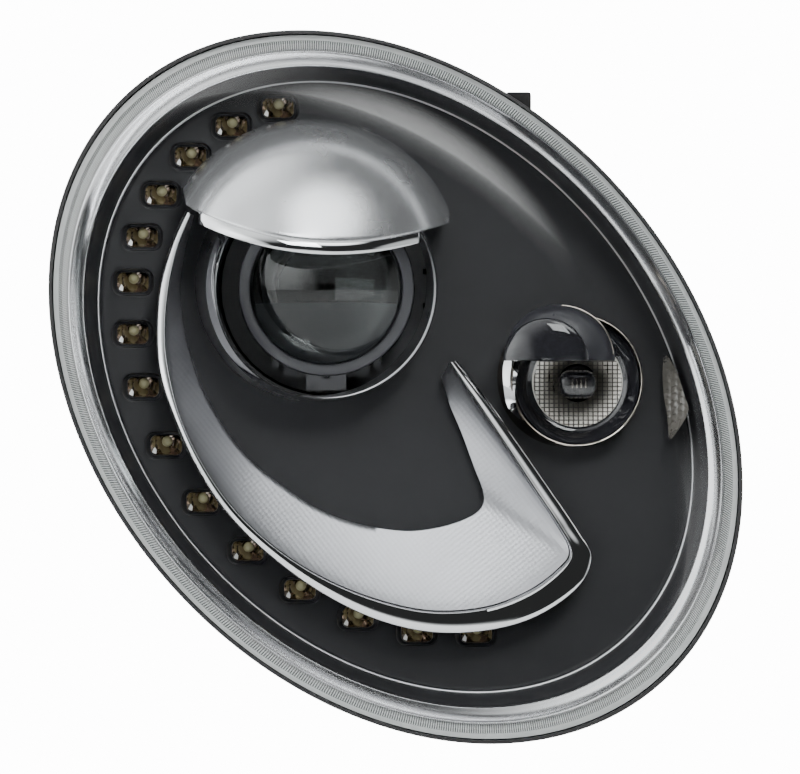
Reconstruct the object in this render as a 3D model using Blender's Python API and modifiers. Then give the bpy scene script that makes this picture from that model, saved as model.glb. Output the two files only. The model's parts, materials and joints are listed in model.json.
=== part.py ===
"""Car headlight assembly, left-hand unit. Front faces -Y, outboard is +X, up is +Z."""

import math

import bmesh
import bpy
from mathutils import Matrix, Vector

MM = 0.001

# Oval outline of the front, and the leaning plane that its rim lies in (mm).
OVAL_LONG = 179.1
OVAL_SHORT = 134.9
OVAL_TURN = math.radians(-47.9)
RIM_Y = -165.0
RIM_SLOPE_X = 0.25
RIM_SLOPE_Z = 0.30
OVAL_STEPS = 52

# Depth of the bezel's face behind the rim plane, and the rise of the cover before it (mm).
BEZEL_DEPTH = 34.0
COVER_RISE = 46.0
COVER_WALL = 2.8

# Lamp axes (x, z), and the depth at which the projector tilts and swivels (mm).
PROJECTOR = (-31.6, 44.1)
TURN = (82.0, 1.5)
GIMBAL_Y = -88.0
# Distances from the projector's axis to the levelling spindle and to the push rod (mm).
TILT_ARM = 72.1
SWIVEL_ARM = 46.0
# Axis of the low-beam flap, and of the plunger that works it (mm, y and z from the projector's axis).
FLAP_Y = -108.0
FLAP_Z = -32.0
PLUNGER_Z = -38.0
PLUNGER_TIP_Y = -110.2

# Mounting lugs: x and z of the outline (low, high), y of the front and rear faces, then the hole's x, z, radius and
# the y where it starts. The upper lug's hole is blind, entered from behind.
LUGS = {
    "upper": ((49.5, 119.0), (61.0, 133.0), (-96.0, -76.0), (55.2, 127.3, 3.8, -91.5)),
    "side": ((-147.0, 3.0), (-114.0, 21.0), (-36.0, -29.0), (-138.0, 12.0, 5.0, -40.0)),
    "lower": ((59.0, -146.0), (77.0, -112.0), (-36.0, -29.0), (68.0, -137.0, 5.0, -40.0)),
}
# Small things on the rear wall (x, z).
ADJUSTER = (-5.6, -40.0)
VENTS = {"upper": (-95.0, 20.0), "lower": (-12.0, -84.0)}
BALLAST_SCREWS = [(12, -42), (78, -42), (78, -78)]

# Stations of the crescent from its upper left end round to its right end (mm).
FRAME_EDGE = [(-95, 79), (-101.5, 64), (-106.5, 45), (-108, 25), (-106.5, 6), (-100.5, -14), (-90.5, -36),
              (-76.5, -57), (-58.5, -75), (-36, -91.5), (-10, -104.5), (16, -110.7), (42, -109.8),
              (64, -103.3), (82, -90.5), (88, -77), (81.5, -64.5), (69, -46), (54.5, -25), (41, -6),
              (27.5, 11.5)]
LEAF_OUTER = [(-92.5, 77.5), (-98.5, 62.5), (-102.5, 44), (-104, 25), (-102.5, 8), (-97, -14), (-87, -35), (-73, -55),
              (-55, -72), (-34, -85.5), (-10, -95.5), (15, -101), (40, -99.5), (60, -92), (74, -81.5),
              (78, -74), (72, -62), (60, -44), (47, -24), (35, -6), (24, 10.5)]
LEAF_INNER = [(-91.3, 77), (-95.5, 60), (-97.5, 44), (-95.5, 25), (-92, 12), (-87, -2), (-78, -18), (-66, -33),
              (-52, -44.5), (-36, -55), (-18, -62), (3, -65.3), (18, -64), (30, -60.5), (37, -56.5),
              (39.5, -52), (38.8, -46), (35, -36), (29.5, -21), (24, -8), (20.5, 4)]
LEAF_STEPS = 40

# Row of LEDs on an arc with the oval's own slant (mm, degrees).
LED_CENTRE = (-1.6, 8.6)
LED_LONG = 131.7
LED_SHORT = 104.75
LED_ANGLES = [157.5, 169.6, 182.2, 194.1, 205.2, 215.8, 227.2, 238.6, 251.3, 264.6, 277.7, 290.6,
              303.7, 316.7, 330.0]

MATERIALS = {
    "housing_black": ((0.012, 0.012, 0.013), 0.55, 0.0),
    "cover_clear": ((0.9, 0.92, 0.95), 0.03, 0.0),
    "lamp_chrome": ((0.85, 0.85, 0.86), 0.06, 1.0),
    "bezel_black": ((0.03, 0.03, 0.033), 0.35, 0.0),
    "satin_silver": ((0.55, 0.55, 0.56), 0.38, 1.0),
    "piano_black": ((0.015, 0.015, 0.017), 0.08, 0.0),
    "optic_glass": ((0.8, 0.85, 0.85), 0.02, 0.0),
    "collar_grey": ((0.05, 0.05, 0.055), 0.4, 0.0),
    "board_white": ((0.7, 0.7, 0.68), 0.5, 0.0),
    "seal_rubber": ((0.02, 0.02, 0.02), 0.8, 0.0),
    "zinc_steel": ((0.5, 0.5, 0.5), 0.35, 1.0),
    "cast_alloy": ((0.6, 0.6, 0.6), 0.45, 1.0),
    "nylon_white": ((0.75, 0.74, 0.7), 0.5, 0.0),
    "bulb_amber": ((0.9, 0.4, 0.05), 0.1, 0.0),
}


def clear_scene():
    for obj in list(bpy.data.objects):
        bpy.data.objects.remove(obj, do_unlink=True)


def make_materials():
    made = {}
    for name, (colour, roughness, metallic) in MATERIALS.items():
        material = bpy.data.materials.new(name)
        material.use_nodes = True
        shader = material.node_tree.nodes["Principled BSDF"]
        shader.inputs["Base Color"].default_value = (*colour, 1.0)
        shader.inputs["Roughness"].default_value = roughness
        shader.inputs["Metallic"].default_value = metallic
        made[name] = material
    return made


def rim_y(x, z):
    return RIM_Y + RIM_SLOPE_X * x + RIM_SLOPE_Z * z


def bezel_y(x, z):
    return rim_y(x, z) + BEZEL_DEPTH


def oval_xz(long, short, angle, centre=(0.0, 0.0)):
    a, b = long * math.cos(angle), short * math.sin(angle)
    c, s = math.cos(OVAL_TURN), math.sin(OVAL_TURN)
    return centre[0] + a * c - b * s, centre[1] + a * s + b * c


def oval_point(rho, angle, depth, back=0.0, back_y=0.0):
    """A point at rho of the oval: depth is behind the rim plane, back blends to the flat plane back_y."""
    x, z = oval_xz(OVAL_LONG * rho, OVAL_SHORT * rho, angle)
    return x, (rim_y(x, z) + depth) * (1 - back) + back_y * back, z


def smooth(points, steps):
    """Points along a Catmull-Rom curve through the stations, ends included."""
    found = []
    last = len(points) - 1
    for i in range(steps + 1):
        place = i / steps * last
        k = min(int(place), last - 1)
        u = place - k
        p = [points[min(max(k + j, 0), last)] for j in (-1, 0, 1, 2)]
        found.append(tuple(
            0.5 * (2 * p[1][n] + (p[2][n] - p[0][n]) * u
                   + (2 * p[0][n] - 5 * p[1][n] + 4 * p[2][n] - p[3][n]) * u * u
                   + (3 * p[1][n] - p[0][n] - 3 * p[2][n] + p[3][n]) * u ** 3)
            for n in range(len(p[1]))))
    return found


def add_object(name, points, faces, material, where):
    """A mesh object from points in mm, with its normals facing out."""
    mesh = bpy.data.meshes.new(name)
    mesh.from_pydata([Vector(p) * MM for p in points], [], faces)
    work = bmesh.new()
    work.from_mesh(mesh)
    bmesh.ops.recalc_face_normals(work, faces=work.faces)
    if work.calc_volume(signed=True) < 0:
        bmesh.ops.reverse_faces(work, faces=work.faces)
    work.to_mesh(mesh)
    work.free()
    obj = bpy.data.objects.new(name, mesh)
    if material:
        mesh.materials.append(material)
    where.objects.link(obj)
    return obj


def swept(name, rings, material, where, closed):
    """Skin over rings of points that run round a loop. A ring of one point is a pole.
    closed joins the last ring to the first, as for a band."""
    points, starts = [], []
    for ring in rings:
        starts.append((len(points), len(ring)))
        points += ring
    faces = []
    pairs = list(zip(starts, starts[1:]))
    if closed:
        pairs.append((starts[-1], starts[0]))
    for (a, na), (b, nb) in pairs:
        n = max(na, nb)
        for i in range(n):
            j = (i + 1) % n
            if na == 1:
                faces.append((a, b + j, b + i))
            elif nb == 1:
                faces.append((a + i, a + j, b))
            else:
                faces.append((a + i, a + j, b + j, b + i))
    return add_object(name, points, faces, material, where)


def oval_band(name, profile, material, where, closed=True):
    """profile holds (rho, depth) or (rho, depth, back, back_y), and rho 0 is the pole."""
    rings = []
    for row in profile:
        if row[0] == 0:
            rings.append([oval_point(0, 0, *row[1:])])
        else:
            rings.append([oval_point(row[0], 2 * math.pi * i / OVAL_STEPS, *row[1:])
                          for i in range(OVAL_STEPS)])
    return swept(name, rings, material, where, closed)


def finish(obj, material):
    """Replaces the mesh with its evaluated one, in its place and facing out."""
    graph = bpy.context.evaluated_depsgraph_get()
    mesh = bpy.data.meshes.new_from_object(obj.evaluated_get(graph))
    obj.modifiers.clear()
    work = bmesh.new()
    work.from_mesh(mesh)
    bmesh.ops.recalc_face_normals(work, faces=work.faces)
    if work.calc_volume(signed=True) < 0:
        bmesh.ops.reverse_faces(work, faces=work.faces)
    work.to_mesh(mesh)
    work.free()
    mesh.name = obj.name
    mesh.transform(obj.matrix_basis)
    obj.matrix_basis = Matrix()
    obj.data = mesh
    mesh.materials.clear()
    if material:
        mesh.materials.append(material)
    return obj


def turned(name, profile, at, material, where, steps=32):
    """A body turned about an axis along Y through at: profile holds (radius, y), and radius 0 is the axis."""
    count = len(profile)
    ends_meet = profile[0][0] != 0
    mesh = bpy.data.meshes.new(name)
    mesh.from_pydata([Vector((radius, 0, -y)) * MM for radius, y in profile],
                     [(i, (i + 1) % count) for i in range(count if ends_meet else count - 1)], [])
    obj = bpy.data.objects.new(name, mesh)
    where.objects.link(obj)
    turn = obj.modifiers.new("turn", "SCREW")
    turn.axis = "Z"
    turn.steps = turn.render_steps = steps
    turn.use_merge_vertices = True
    turn.merge_threshold = 0.00001
    obj.matrix_basis = Matrix.Translation(Vector((at[0], 0, at[1])) * MM) @ Matrix.Rotation(math.pi / 2, 4, "X")
    return finish(obj, material)


def primitive(name, make, material, where, **settings):
    """A mesh object from one of bmesh's own primitives."""
    mesh = bpy.data.meshes.new(name)
    work = bmesh.new()
    make(work, **settings)
    work.to_mesh(mesh)
    work.free()
    obj = bpy.data.objects.new(name, mesh)
    if material:
        mesh.materials.append(material)
    where.objects.link(obj)
    return obj


def rod(name, start, end, radius, material, where, steps=16):
    """A plain round rod between two points."""
    a, b = Vector(start) * MM, Vector(end) * MM
    place = Matrix.Translation((a + b) / 2) @ (b - a).to_track_quat("Z", "Y").to_matrix().to_4x4()
    return primitive(name, bmesh.ops.create_cone, material, where, cap_ends=True, segments=steps,
                     radius1=radius * MM, radius2=radius * MM, depth=(b - a).length, matrix=place)


def block(name, low, high, material, where):
    a, b = Vector(low) * MM, Vector(high) * MM
    place = Matrix.Translation((a + b) / 2) @ Matrix.Diagonal((*(b - a), 1))
    return primitive(name, bmesh.ops.create_cube, material, where, size=1, matrix=place)


def slab(name, front, back, material, where):
    """A closed shell from two equal grids of points, one for each face."""
    rows, cols = len(front), len(front[0])
    points = [p for row in front for p in row] + [p for row in back for p in row]
    faces = []
    for i in range(rows - 1):
        for j in range(cols - 1):
            k = i * cols + j
            faces.append((k, k + 1, k + cols + 1, k + cols))
            k += rows * cols
            faces.append((k, k + cols, k + cols + 1, k + 1))
    edge = [j for j in range(cols)] + [i * cols + cols - 1 for i in range(1, rows)]
    edge += [(rows - 1) * cols + j for j in range(cols - 2, -1, -1)]
    edge += [i * cols for i in range(rows - 2, 0, -1)]
    for a, b in zip(edge, edge[1:] + edge[:1]):
        faces.append((a, b, b + rows * cols, a + rows * cols))
    return add_object(name, points, faces, material, where)


def carve(obj, others, operation="DIFFERENCE"):
    """Cuts or joins the others, and then drops them."""
    for other in others:
        step = obj.modifiers.new("carve", "BOOLEAN")
        step.operation = operation
        step.solver = "EXACT"
        step.object = other
    graph = bpy.context.evaluated_depsgraph_get()
    made = bpy.data.meshes.new_from_object(obj.evaluated_get(graph))
    obj.modifiers.clear()
    made.name = obj.name
    obj.data = made
    for other in others:
        bpy.data.objects.remove(other, do_unlink=True)


def pivot(obj, point):
    """Puts the object's origin on its joint's axis."""
    where = Vector(point) * MM
    obj.data.transform(Matrix.Translation(-where))
    obj.location = where


def collar(name, at, profile, material, where, steps=32):
    """A ring that leans with the bezel: profile holds (radius, height above the bezel, x shift, z shift), and a
    fifth number is a flat y that replaces the leaning one."""
    rings = []
    for row in profile:
        ring = []
        for i in range(steps):
            turn = 2 * math.pi * i / steps
            x, z = at[0] + row[2] + row[0] * math.cos(turn), at[1] + row[3] + row[0] * math.sin(turn)
            ring.append((x, row[4] if len(row) > 4 else bezel_y(x, z) - row[1], z))
        rings.append(ring)
    return swept(name, rings, material, where, closed=True)


def dome_grid(top, bottom, centre, radius, base_y, rise, rows, shrink=1.0):
    """Grid over a half dome, from its upper edge to its lower edge."""
    grid = []
    for i in range(rows + 1):
        u = i / rows
        row = []
        for (tx, tz), (bx, bz) in zip(top, bottom):
            x, z = tx + (bx - tx) * u, tz + (bz - tz) * u
            far = min(1.0, math.hypot(x - centre[0], z - centre[1]) / radius)
            x, z = centre[0] + (x - centre[0]) * shrink, centre[1] + (z - centre[1]) * shrink
            row.append((x, base_y(x, z) - rise * math.sqrt(1 - far * far), z))
        grid.append(row)
    return grid


def arc(centre, radius, start, end, steps):
    return [(centre[0] + radius * math.cos(math.radians(start + (end - start) * i / steps)),
             centre[1] + radius * math.sin(math.radians(start + (end - start) * i / steps)))
            for i in range(steps + 1)]


def build_housing(parts, tools, mat):
    black = mat["housing_black"]
    housing = oval_band("housing", [
        (0, 0, 1, 0), (0.74, 0, 1, 0), (0.765, 0, 0.97), (0.80, 4, 0.85), (0.90, 8, 0.45), (0.965, 14, 0.1),
        (0.985, 16), (1.0, 8), (1.0, -3), (0.99, -3), (0.99, 12), (0.958, 12), (0.955, 22, 0.06),
        (0.935, 20, 0.2), (0.875, 9, 0.5), (0.775, 4, 0.87, -3), (0.74, 0, 0.97, -3), (0.71, 0, 1, -3),
        (0, 0, 1, -3)], black, parts, closed=False)
    px, pz = PROJECTOR
    low = pz - TILT_ARM
    posts = [
        block("post_left", (px - 72, -95, pz - 6), (px - 64.5, -2, pz + 6), None, tools),
        block("post_right", (px + 64.5, -95, pz - 6), (px + 72, -2, pz + 6), None, tools),
        block("ballast_seat", (6, -1, -86), (84, 2, -34), None, tools),
    ]
    for (x0, z0), (x1, z1), (front, rear), _ in LUGS.values():
        posts.append(block("lug", (x0, front, z0), (x1, rear, z1), None, tools))
    carve(housing, posts, "UNION")
    holes = [rod("pin_hole", (px + side * 63, GIMBAL_Y, pz), (px + side * 80, GIMBAL_Y, pz), 2.9, None, tools)
             for side in (-1, 1)]
    # Holes through the rear wall: centre, radius and steps.
    for x, z, radius, steps in ((px, pz, 31, 36), (*TURN, 13, 32), (px, low, 12, 24), (*ADJUSTER, 4, 16),
                                (px + SWIVEL_ARM, pz, 4, 16), (*VENTS["upper"], 4, 16),
                                (*VENTS["lower"], 4, 16)):
        holes.append(rod("wall_hole", (x, -6, z), (x, 3, z), radius, None, tools, steps))
    holes += [block("inlet_hole", (-88, -6, -28), (-62, 3, -14), None, tools),
              block("wire_hole", (38, -6, -66), (52, 3, -54), None, tools)]
    for _, _, (_, rear), (x, z, radius, start) in LUGS.values():
        holes.append(rod("lug_hole", (x, start, z), (x, rear + 9, z), radius, None, tools))
    carve(housing, holes)


def build_front(parts, tools, mat):
    # Clear cover: toothed skirt in the housing's channel, then the domed window.
    edge = 0.986
    rise = [(r, -6 - COVER_RISE * (1 - (r / edge) ** 2.6) ** 0.75) for r in
            (0.4, 0.68, 0.84, 0.93, 0.97)]
    outer = [(0, -6 - COVER_RISE)] + rise + [(edge, -6), (edge, 9)]
    inner = [(0.966, 9), (0.966, -4)] + [(r * 0.98, d + COVER_WALL) for r, d in rise[::-1][1:]]
    inner += [(0, -6 - COVER_RISE + COVER_WALL)]
    oval_band("outer_lens", outer + inner, mat["cover_clear"], parts, closed=False)
    oval_band("lens_seal", [(0.986, 9.4), (0.986, 11.6), (0.964, 11.6), (0.964, 9.4)],
              mat["seal_rubber"], parts)
    oval_band("chrome_ring", [(0.950, 3), (0.938, -2), (0.918, 0), (0.898, 8.5), (0.930, 8.5)],
              mat["lamp_chrome"], parts)

    # Inner bezel, with its openings.
    bezel = oval_band("inner_bezel", [
        (0, BEZEL_DEPTH), (0.845, BEZEL_DEPTH), (0.862, 30), (0.897, 10), (0.906, 11), (0.872, BEZEL_DEPTH + 2.5),
        (0, BEZEL_DEPTH + 2.5)], mat["bezel_black"], parts, closed=False)
    px, pz = PROJECTOR
    cuts = [rod("lamp_opening", (px, -170, pz), (px, -90, pz), 48, None, tools, 48),
            rod("turn_opening", (TURN[0], -150, TURN[1]), (TURN[0], -70, TURN[1]), 27, None, tools, 32)]
    for degrees in LED_ANGLES:
        x, z = oval_xz(LED_LONG, LED_SHORT, math.radians(degrees), LED_CENTRE)
        y = bezel_y(x, z)
        cuts.append(block("pocket", (x - 6.8, y - 9, z - 4), (x + 6.8, y + 12, z + 4), None, tools))
    carve(bezel, cuts)


def build_crescent(parts, mat):
    frame, outer, inner = (smooth(p, LEAF_STEPS) for p in (FRAME_EDGE, LEAF_OUTER, LEAF_INNER))

    def at(p, depth):
        return p[0], rim_y(*p) + depth, p[1]

    def mix(p, q, u):
        return p[0] + (q[0] - p[0]) * u, p[1] + (q[1] - p[1]) * u

    front, back = [], []
    for o, i in zip(outer, inner):
        front.append([at(mix(o, i, u), 16 + 14 * u ** 0.8) for u in (0.03, 0.5, 1.0)])
        back.append([at(mix(o, i, u), 18 + 14.2 * u ** 0.8) for u in (0.03, 0.5, 1.0)])
    slab("leaf_trim", front, back, mat["satin_silver"], parts)
    front, back = [], []
    for f, o in zip(frame, outer):
        front.append([at(f, 24), at(f, 15), at(mix(f, o, 0.5), 12), at(mix(f, o, 0.9), 16)])
        back.append([at(mix(f, o, 0.25), 26), at(mix(f, o, 0.28), 17), at(mix(f, o, 0.55), 16),
                     at(mix(f, o, 0.85), 18)])
    slab("leaf_frame", front, back, mat["lamp_chrome"], parts)


def build_led_strip(parts, tools, mat):
    front, back = [], []
    for i in range(31):
        angle = math.radians(150 + (337 - 150) * i / 30)
        row = []
        for side in (-6, 6):
            x, z = oval_xz(LED_LONG + side, LED_SHORT + side, angle, LED_CENTRE)
            row.append((x, rim_y(x, z), z))
        front.append([(x, y + 38, z) for x, y, z in row])
        back.append([(x, y + 39.6, z) for x, y, z in row])
    strip = slab("led_strip", front, back, mat["board_white"], parts)
    chips = []
    for degrees in LED_ANGLES:
        x, z = oval_xz(LED_LONG, LED_SHORT, math.radians(degrees), LED_CENTRE)
        y = rim_y(x, z)
        chips.append(block("chip", (x - 2.4, y + 34.5, z - 2), (x + 2.4, y + 38.8, z + 2), None, tools))
    carve(strip, chips, "UNION")


def build_eyelid(parts, mat):
    # Half dome over the projector, its bright lower lip, and the ring round the lamp.
    centre, radius = (-38.7, 52.3), 68.6
    steps = 18
    top = arc(centre, radius, 147, 24, steps)
    low_left, low_right = (-93.5, 84.5), (23, 75)
    bottom = []
    for i in range(steps + 1):
        u = i / steps
        x = low_left[0] + (low_right[0] - low_left[0]) * u
        bottom.append((x, 204.5 - math.sqrt(140.4 ** 2 - (x + 27.2) ** 2)))
    bottom[0], bottom[-1] = (-94.5, 86.5), (24, 77.5)

    def foot(x, z):
        return bezel_y(x, z) - 0.6

    front = dome_grid(top, bottom, centre, radius, foot, 62, 5)
    back = dome_grid(top, bottom, centre, radius, foot, 59.5, 5, 0.972)
    slab("eyelid", front, back, mat["satin_silver"], parts)

    front, back = [], []
    for i in range(19):
        x = -89 + (11 + 89) * i / 18
        low = 199.1 - math.sqrt(139.9 ** 2 - (x + 28) ** 2)
        high = 204.5 - math.sqrt(140.4 ** 2 - (x + 27.2) ** 2) - 0.5
        row = []
        for z in (high, low):
            far = min(0.999, math.hypot(x - centre[0], z - centre[1]) / 70)
            row.append((x, foot(x, z) - 60.5 * math.sqrt(1 - far * far), z))
        front.append(row)
        back.append([(x, y + 2.0, z) for x, y, z in row])
    slab("eyelid_lip", front, back, mat["lamp_chrome"], parts)

    collar("projector_ring", PROJECTOR, [(49.5, 25, 0, 0), (50.8, 25, 0, 0), (52.2, 20.5, -1.5, 0.6),
                                         (53.4, 0.4, -5.5, 2.5), (50.9, 0.4, -5.5, 2.5)],
           mat["lamp_chrome"], parts, 40)


def build_turn_lamp(parts, tools, mat):
    x, z = TURN
    turned("turn_reflector", [(20.0, -113), (21.4, -113), (19.5, -100), (15.5, -88), (10.8, -79.5),
                              (8.5, -79.5), (14.0, -88.5), (18.0, -100)], TURN, mat["lamp_chrome"], parts, 28)
    collar("turn_ring", (81.6, 2.6), [(28.9, 12, 0, 0), (30.0, 12, 0, 0), (31.0, 0.4, -3, 1), (29.6, 0.4, -3, 1)],
           mat["lamp_chrome"], parts)
    collar("turn_funnel", (81.8, 2.0), [(20.6, 0, 0, 0, -114.5), (28.0, 11.5, 0, 0), (26.9, 9.3, 0, 0),
                                        (21.8, 0, 0, 0, -113.4)], mat["piano_black"], parts)
    top = arc((73.7, 11.8), 25.2, 178, 2, 16)
    bottom = [(48.9 + (98.5 - 48.9) * i / 16, 11.4) for i in range(17)]

    front = dome_grid(top, bottom, (73.7, 11.8), 25.2, lambda px, pz: bezel_y(px, pz) - 14, 15, 5)
    back = dome_grid(top, bottom, (73.7, 11.8), 25.2, lambda px, pz: bezel_y(px, pz) - 12.6, 14, 5, 0.94)
    slab("turn_eyelid", front, back, mat["piano_black"], parts)
    shield = block("turn_bulb_shield", (x - 8.5, -109, z - 7), (x + 8.5, -106, z + 5.6),
                   mat["piano_black"], parts)
    legs = [block("leg", (x - 8.4, -107, z - 1.5), (x - 7.2, -84.0, z + 1.5), None, tools),
            block("leg", (x + 7.2, -107, z - 1.5), (x + 8.4, -84.0, z + 1.5), None, tools)]
    carve(shield, legs, "UNION")
    turned("turn_bulb", [(0, -99), (3.5, -97.5), (4.6, -93), (4.6, -86), (3.2, -80), (3.2, -76.4), (0, -76.4)],
           TURN, mat["bulb_amber"], parts, 24)
    holder = turned("turn_bulb_holder", [(0, -76), (7.6, -76), (7.6, -50), (10.5, -46), (12.4, -8), (12.4, 0.4),
                                         (17.0, 0.4), (17.0, 4.0), (0, 4.0)], TURN, mat["housing_black"],
                    parts, 32)
    carve(holder, [block("grip", (x - 15, 3.0, z - 2.5), (x + 15, 13.0, z + 2.5), None, tools)], "UNION")
    pivot(holder, (x, 0, z))
    # Side marker reflector at the outboard edge.
    left = smooth([(120.8, 13), (120.3, 5), (121, -5), (122.4, -14), (123, -23)], 12)
    right = smooth([(122.3, 14), (126.5, 7), (129.8, -3), (131.6, -12), (124.4, -24)], 12)
    front, back = [], []
    for (ax, az), (bx, bz) in zip(left, right):
        row = [(ax + (bx - ax) * u, az + (bz - az) * u) for u in (0, 0.5, 1)]
        front.append([(px, bezel_y(px, pz) - 6 - 5 * k, pz) for k, (px, pz) in enumerate(row)])
        back.append([(px, bezel_y(px, pz) - 4 - 5 * k, pz) for k, (px, pz) in enumerate(row)])
    slab("side_reflector", front, back, mat["lamp_chrome"], parts)


def build_projector(parts, tools, mat):
    at = PROJECTOR
    px, pz = at
    lens = turned("projector_lens", [(0, -166), (12, -164.4), (22, -160.2), (29, -154.6), (33.4, -148.5),
                                     (35.0, -146), (35.0, -143), (0, -143)], at, mat["optic_glass"], parts, 32)
    shroud = turned("shroud", [(34.6, -150), (39.6, -148), (39.6, -130), (37.8, -130), (37.8, -141.8),
                               (36.4, -142.4), (36.4, -147.5), (34.4, -148.6)], at, mat["collar_grey"],
                    parts, 32)
    # Cage behind the lens: two hoops joined by four arms.
    cage = turned("lens_holder", [(33, -142.6), (36.0, -142.6), (36.0, -138.5), (33, -138.5)], at,
                  mat["cast_alloy"], parts, 24)
    arms = [turned("hoop", [(32, -105), (39.5, -105), (39.5, -101), (32, -101)], at, None, tools, 24)]
    for i in range(4):
        turn = math.radians(45 + 90 * i)
        cx, cz = px + 34.6 * math.cos(turn), pz + 34.6 * math.sin(turn)
        arms.append(block("arm", (cx - 2, -140, cz - 2), (cx + 2, -102, cz + 2), None, tools))
    for side in (-1, 1):
        ear = sorted((px + side * 21.5, px + side * 24.5))
        arms.append(block("ear", (ear[0], -112, pz - 36), (ear[1], -103, pz - 27), None, tools))
    carve(cage, arms, "UNION")
    carve(cage, [block("flap_gap", (px - 20.5, -106.5, pz - 45), (px + 20.5, -99.5, pz - 30), None, tools),
                 rod("bore", (px - 30, FLAP_Y, pz + FLAP_Z), (px + 30, FLAP_Y, pz + FLAP_Z), 1.6, None, tools, 12)])
    bowl = turned("reflector_bowl", [(37.8, -100.6), (39.5, -100.6), (38.3, -88), (34.0, -72), (25.5, -57),
                                     (15.5, -50), (12.3, -50), (12.3, -51.5), (23.5, -59), (32.2, -73),
                                     (36.4, -88)], at, mat["lamp_chrome"], parts, 28)
    # Ring that carries the projector and swings on the upper and lower pins.
    frame = turned("swivel_frame", [(40.0, -91.5), (47.5, -91.5), (47.5, -84.5), (40.0, -84.5)], at,
                   mat["cast_alloy"], parts, 40)
    sx = px + SWIVEL_ARM
    carve(frame, [block("arm", (px + 42, GIMBAL_Y - 6, pz - 6.5), (sx + 4.5, GIMBAL_Y + 7, pz + 6.5), None, tools)],
          "UNION")
    carve(frame, [rod("socket", (sx, GIMBAL_Y, pz - 9), (sx, GIMBAL_Y, pz + 9), 4.2, None, tools, 20),
                  block("mouth", (sx - 2.4, GIMBAL_Y, pz - 9), (sx + 2.4, GIMBAL_Y + 12, pz + 9), None, tools)])
    pins = [rod("swivel_pin_top", (px, GIMBAL_Y, pz + 47.8), (px, GIMBAL_Y, pz + 63), 2.5,
                mat["zinc_steel"], parts),
            rod("swivel_pin_bottom", (px, GIMBAL_Y, pz - 47.8), (px, GIMBAL_Y, pz - 63), 2.5,
                mat["zinc_steel"], parts)]
    # Low-beam flap on its shaft, worked by the solenoid's pointed plunger.
    fz = pz + FLAP_Z
    flap = block("shutter_flap", (px - 19.5, FLAP_Y - 1.5, fz - 8), (px + 19.5, FLAP_Y - 0.3, fz + 29),
                 mat["zinc_steel"], parts)
    carve(flap, [rod("sleeve", (px - 19.5, FLAP_Y, fz), (px + 19.5, FLAP_Y, fz), 2.5, None, tools, 12)], "UNION")
    carve(flap, [rod("bore", (px - 24, FLAP_Y, fz), (px + 24, FLAP_Y, fz), 1.6, None, tools, 12)])
    pivot(flap, (px, FLAP_Y, fz))
    shaft = rod("shutter_shaft", (px - 25, FLAP_Y, fz), (px + 25, FLAP_Y, fz), 1.3, mat["zinc_steel"], parts, 12)
    coil = block("shutter_solenoid", (px - 9, -129.4, pz - 46), (px + 9, -117, pz - 30), mat["zinc_steel"], parts)
    carve(coil, [rod("bore", (px, -135, pz + PLUNGER_Z), (px, -110, pz + PLUNGER_Z), 3.0, None, tools)])
    plunger = turned("solenoid_plunger", [(0, -128), (2.5, -128), (2.5, PLUNGER_TIP_Y - 3),
                                          (0.8, PLUNGER_TIP_Y - 0.3), (0, PLUNGER_TIP_Y)],
                     (px, pz + PLUNGER_Z), mat["zinc_steel"], parts, 16)
    pivot(plunger, (px, PLUNGER_TIP_Y, pz + PLUNGER_Z))
    bulb = turned("xenon_bulb", [(0, -92), (3.0, -90.5), (4.6, -86), (4.6, -70), (3.0, -60), (3.0, -50.5),
                                 (0, -50.5)], at, mat["optic_glass"], parts, 20)
    base = turned("bulb_base", [(0, -50), (11.8, -50), (11.8, -46), (17, -46), (17, -42.5), (14, -42.5),
                                (14, -24), (0, -24)], at, mat["nylon_white"], parts, 28)
    lock = turned("bulb_lock_ring", [(15.0, -49.2), (20.5, -49.2), (20.5, -38.5), (14.6, -38.5), (14.6, -41.9),
                                     (17.6, -41.9), (17.6, -46.6), (15.0, -46.6)], at,
                  mat["housing_black"], parts, 32)
    carve(lock, [block("tab", (px + 19, -47, pz - 3), (px + 25, -41, pz + 3), None, tools)], "UNION")
    pivot(lock, (px, -44, pz))
    for obj in (lens, shroud, cage, bowl, frame, shaft, coil, bulb, base, *pins):
        pivot(obj, (px, GIMBAL_Y, pz))


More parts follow.
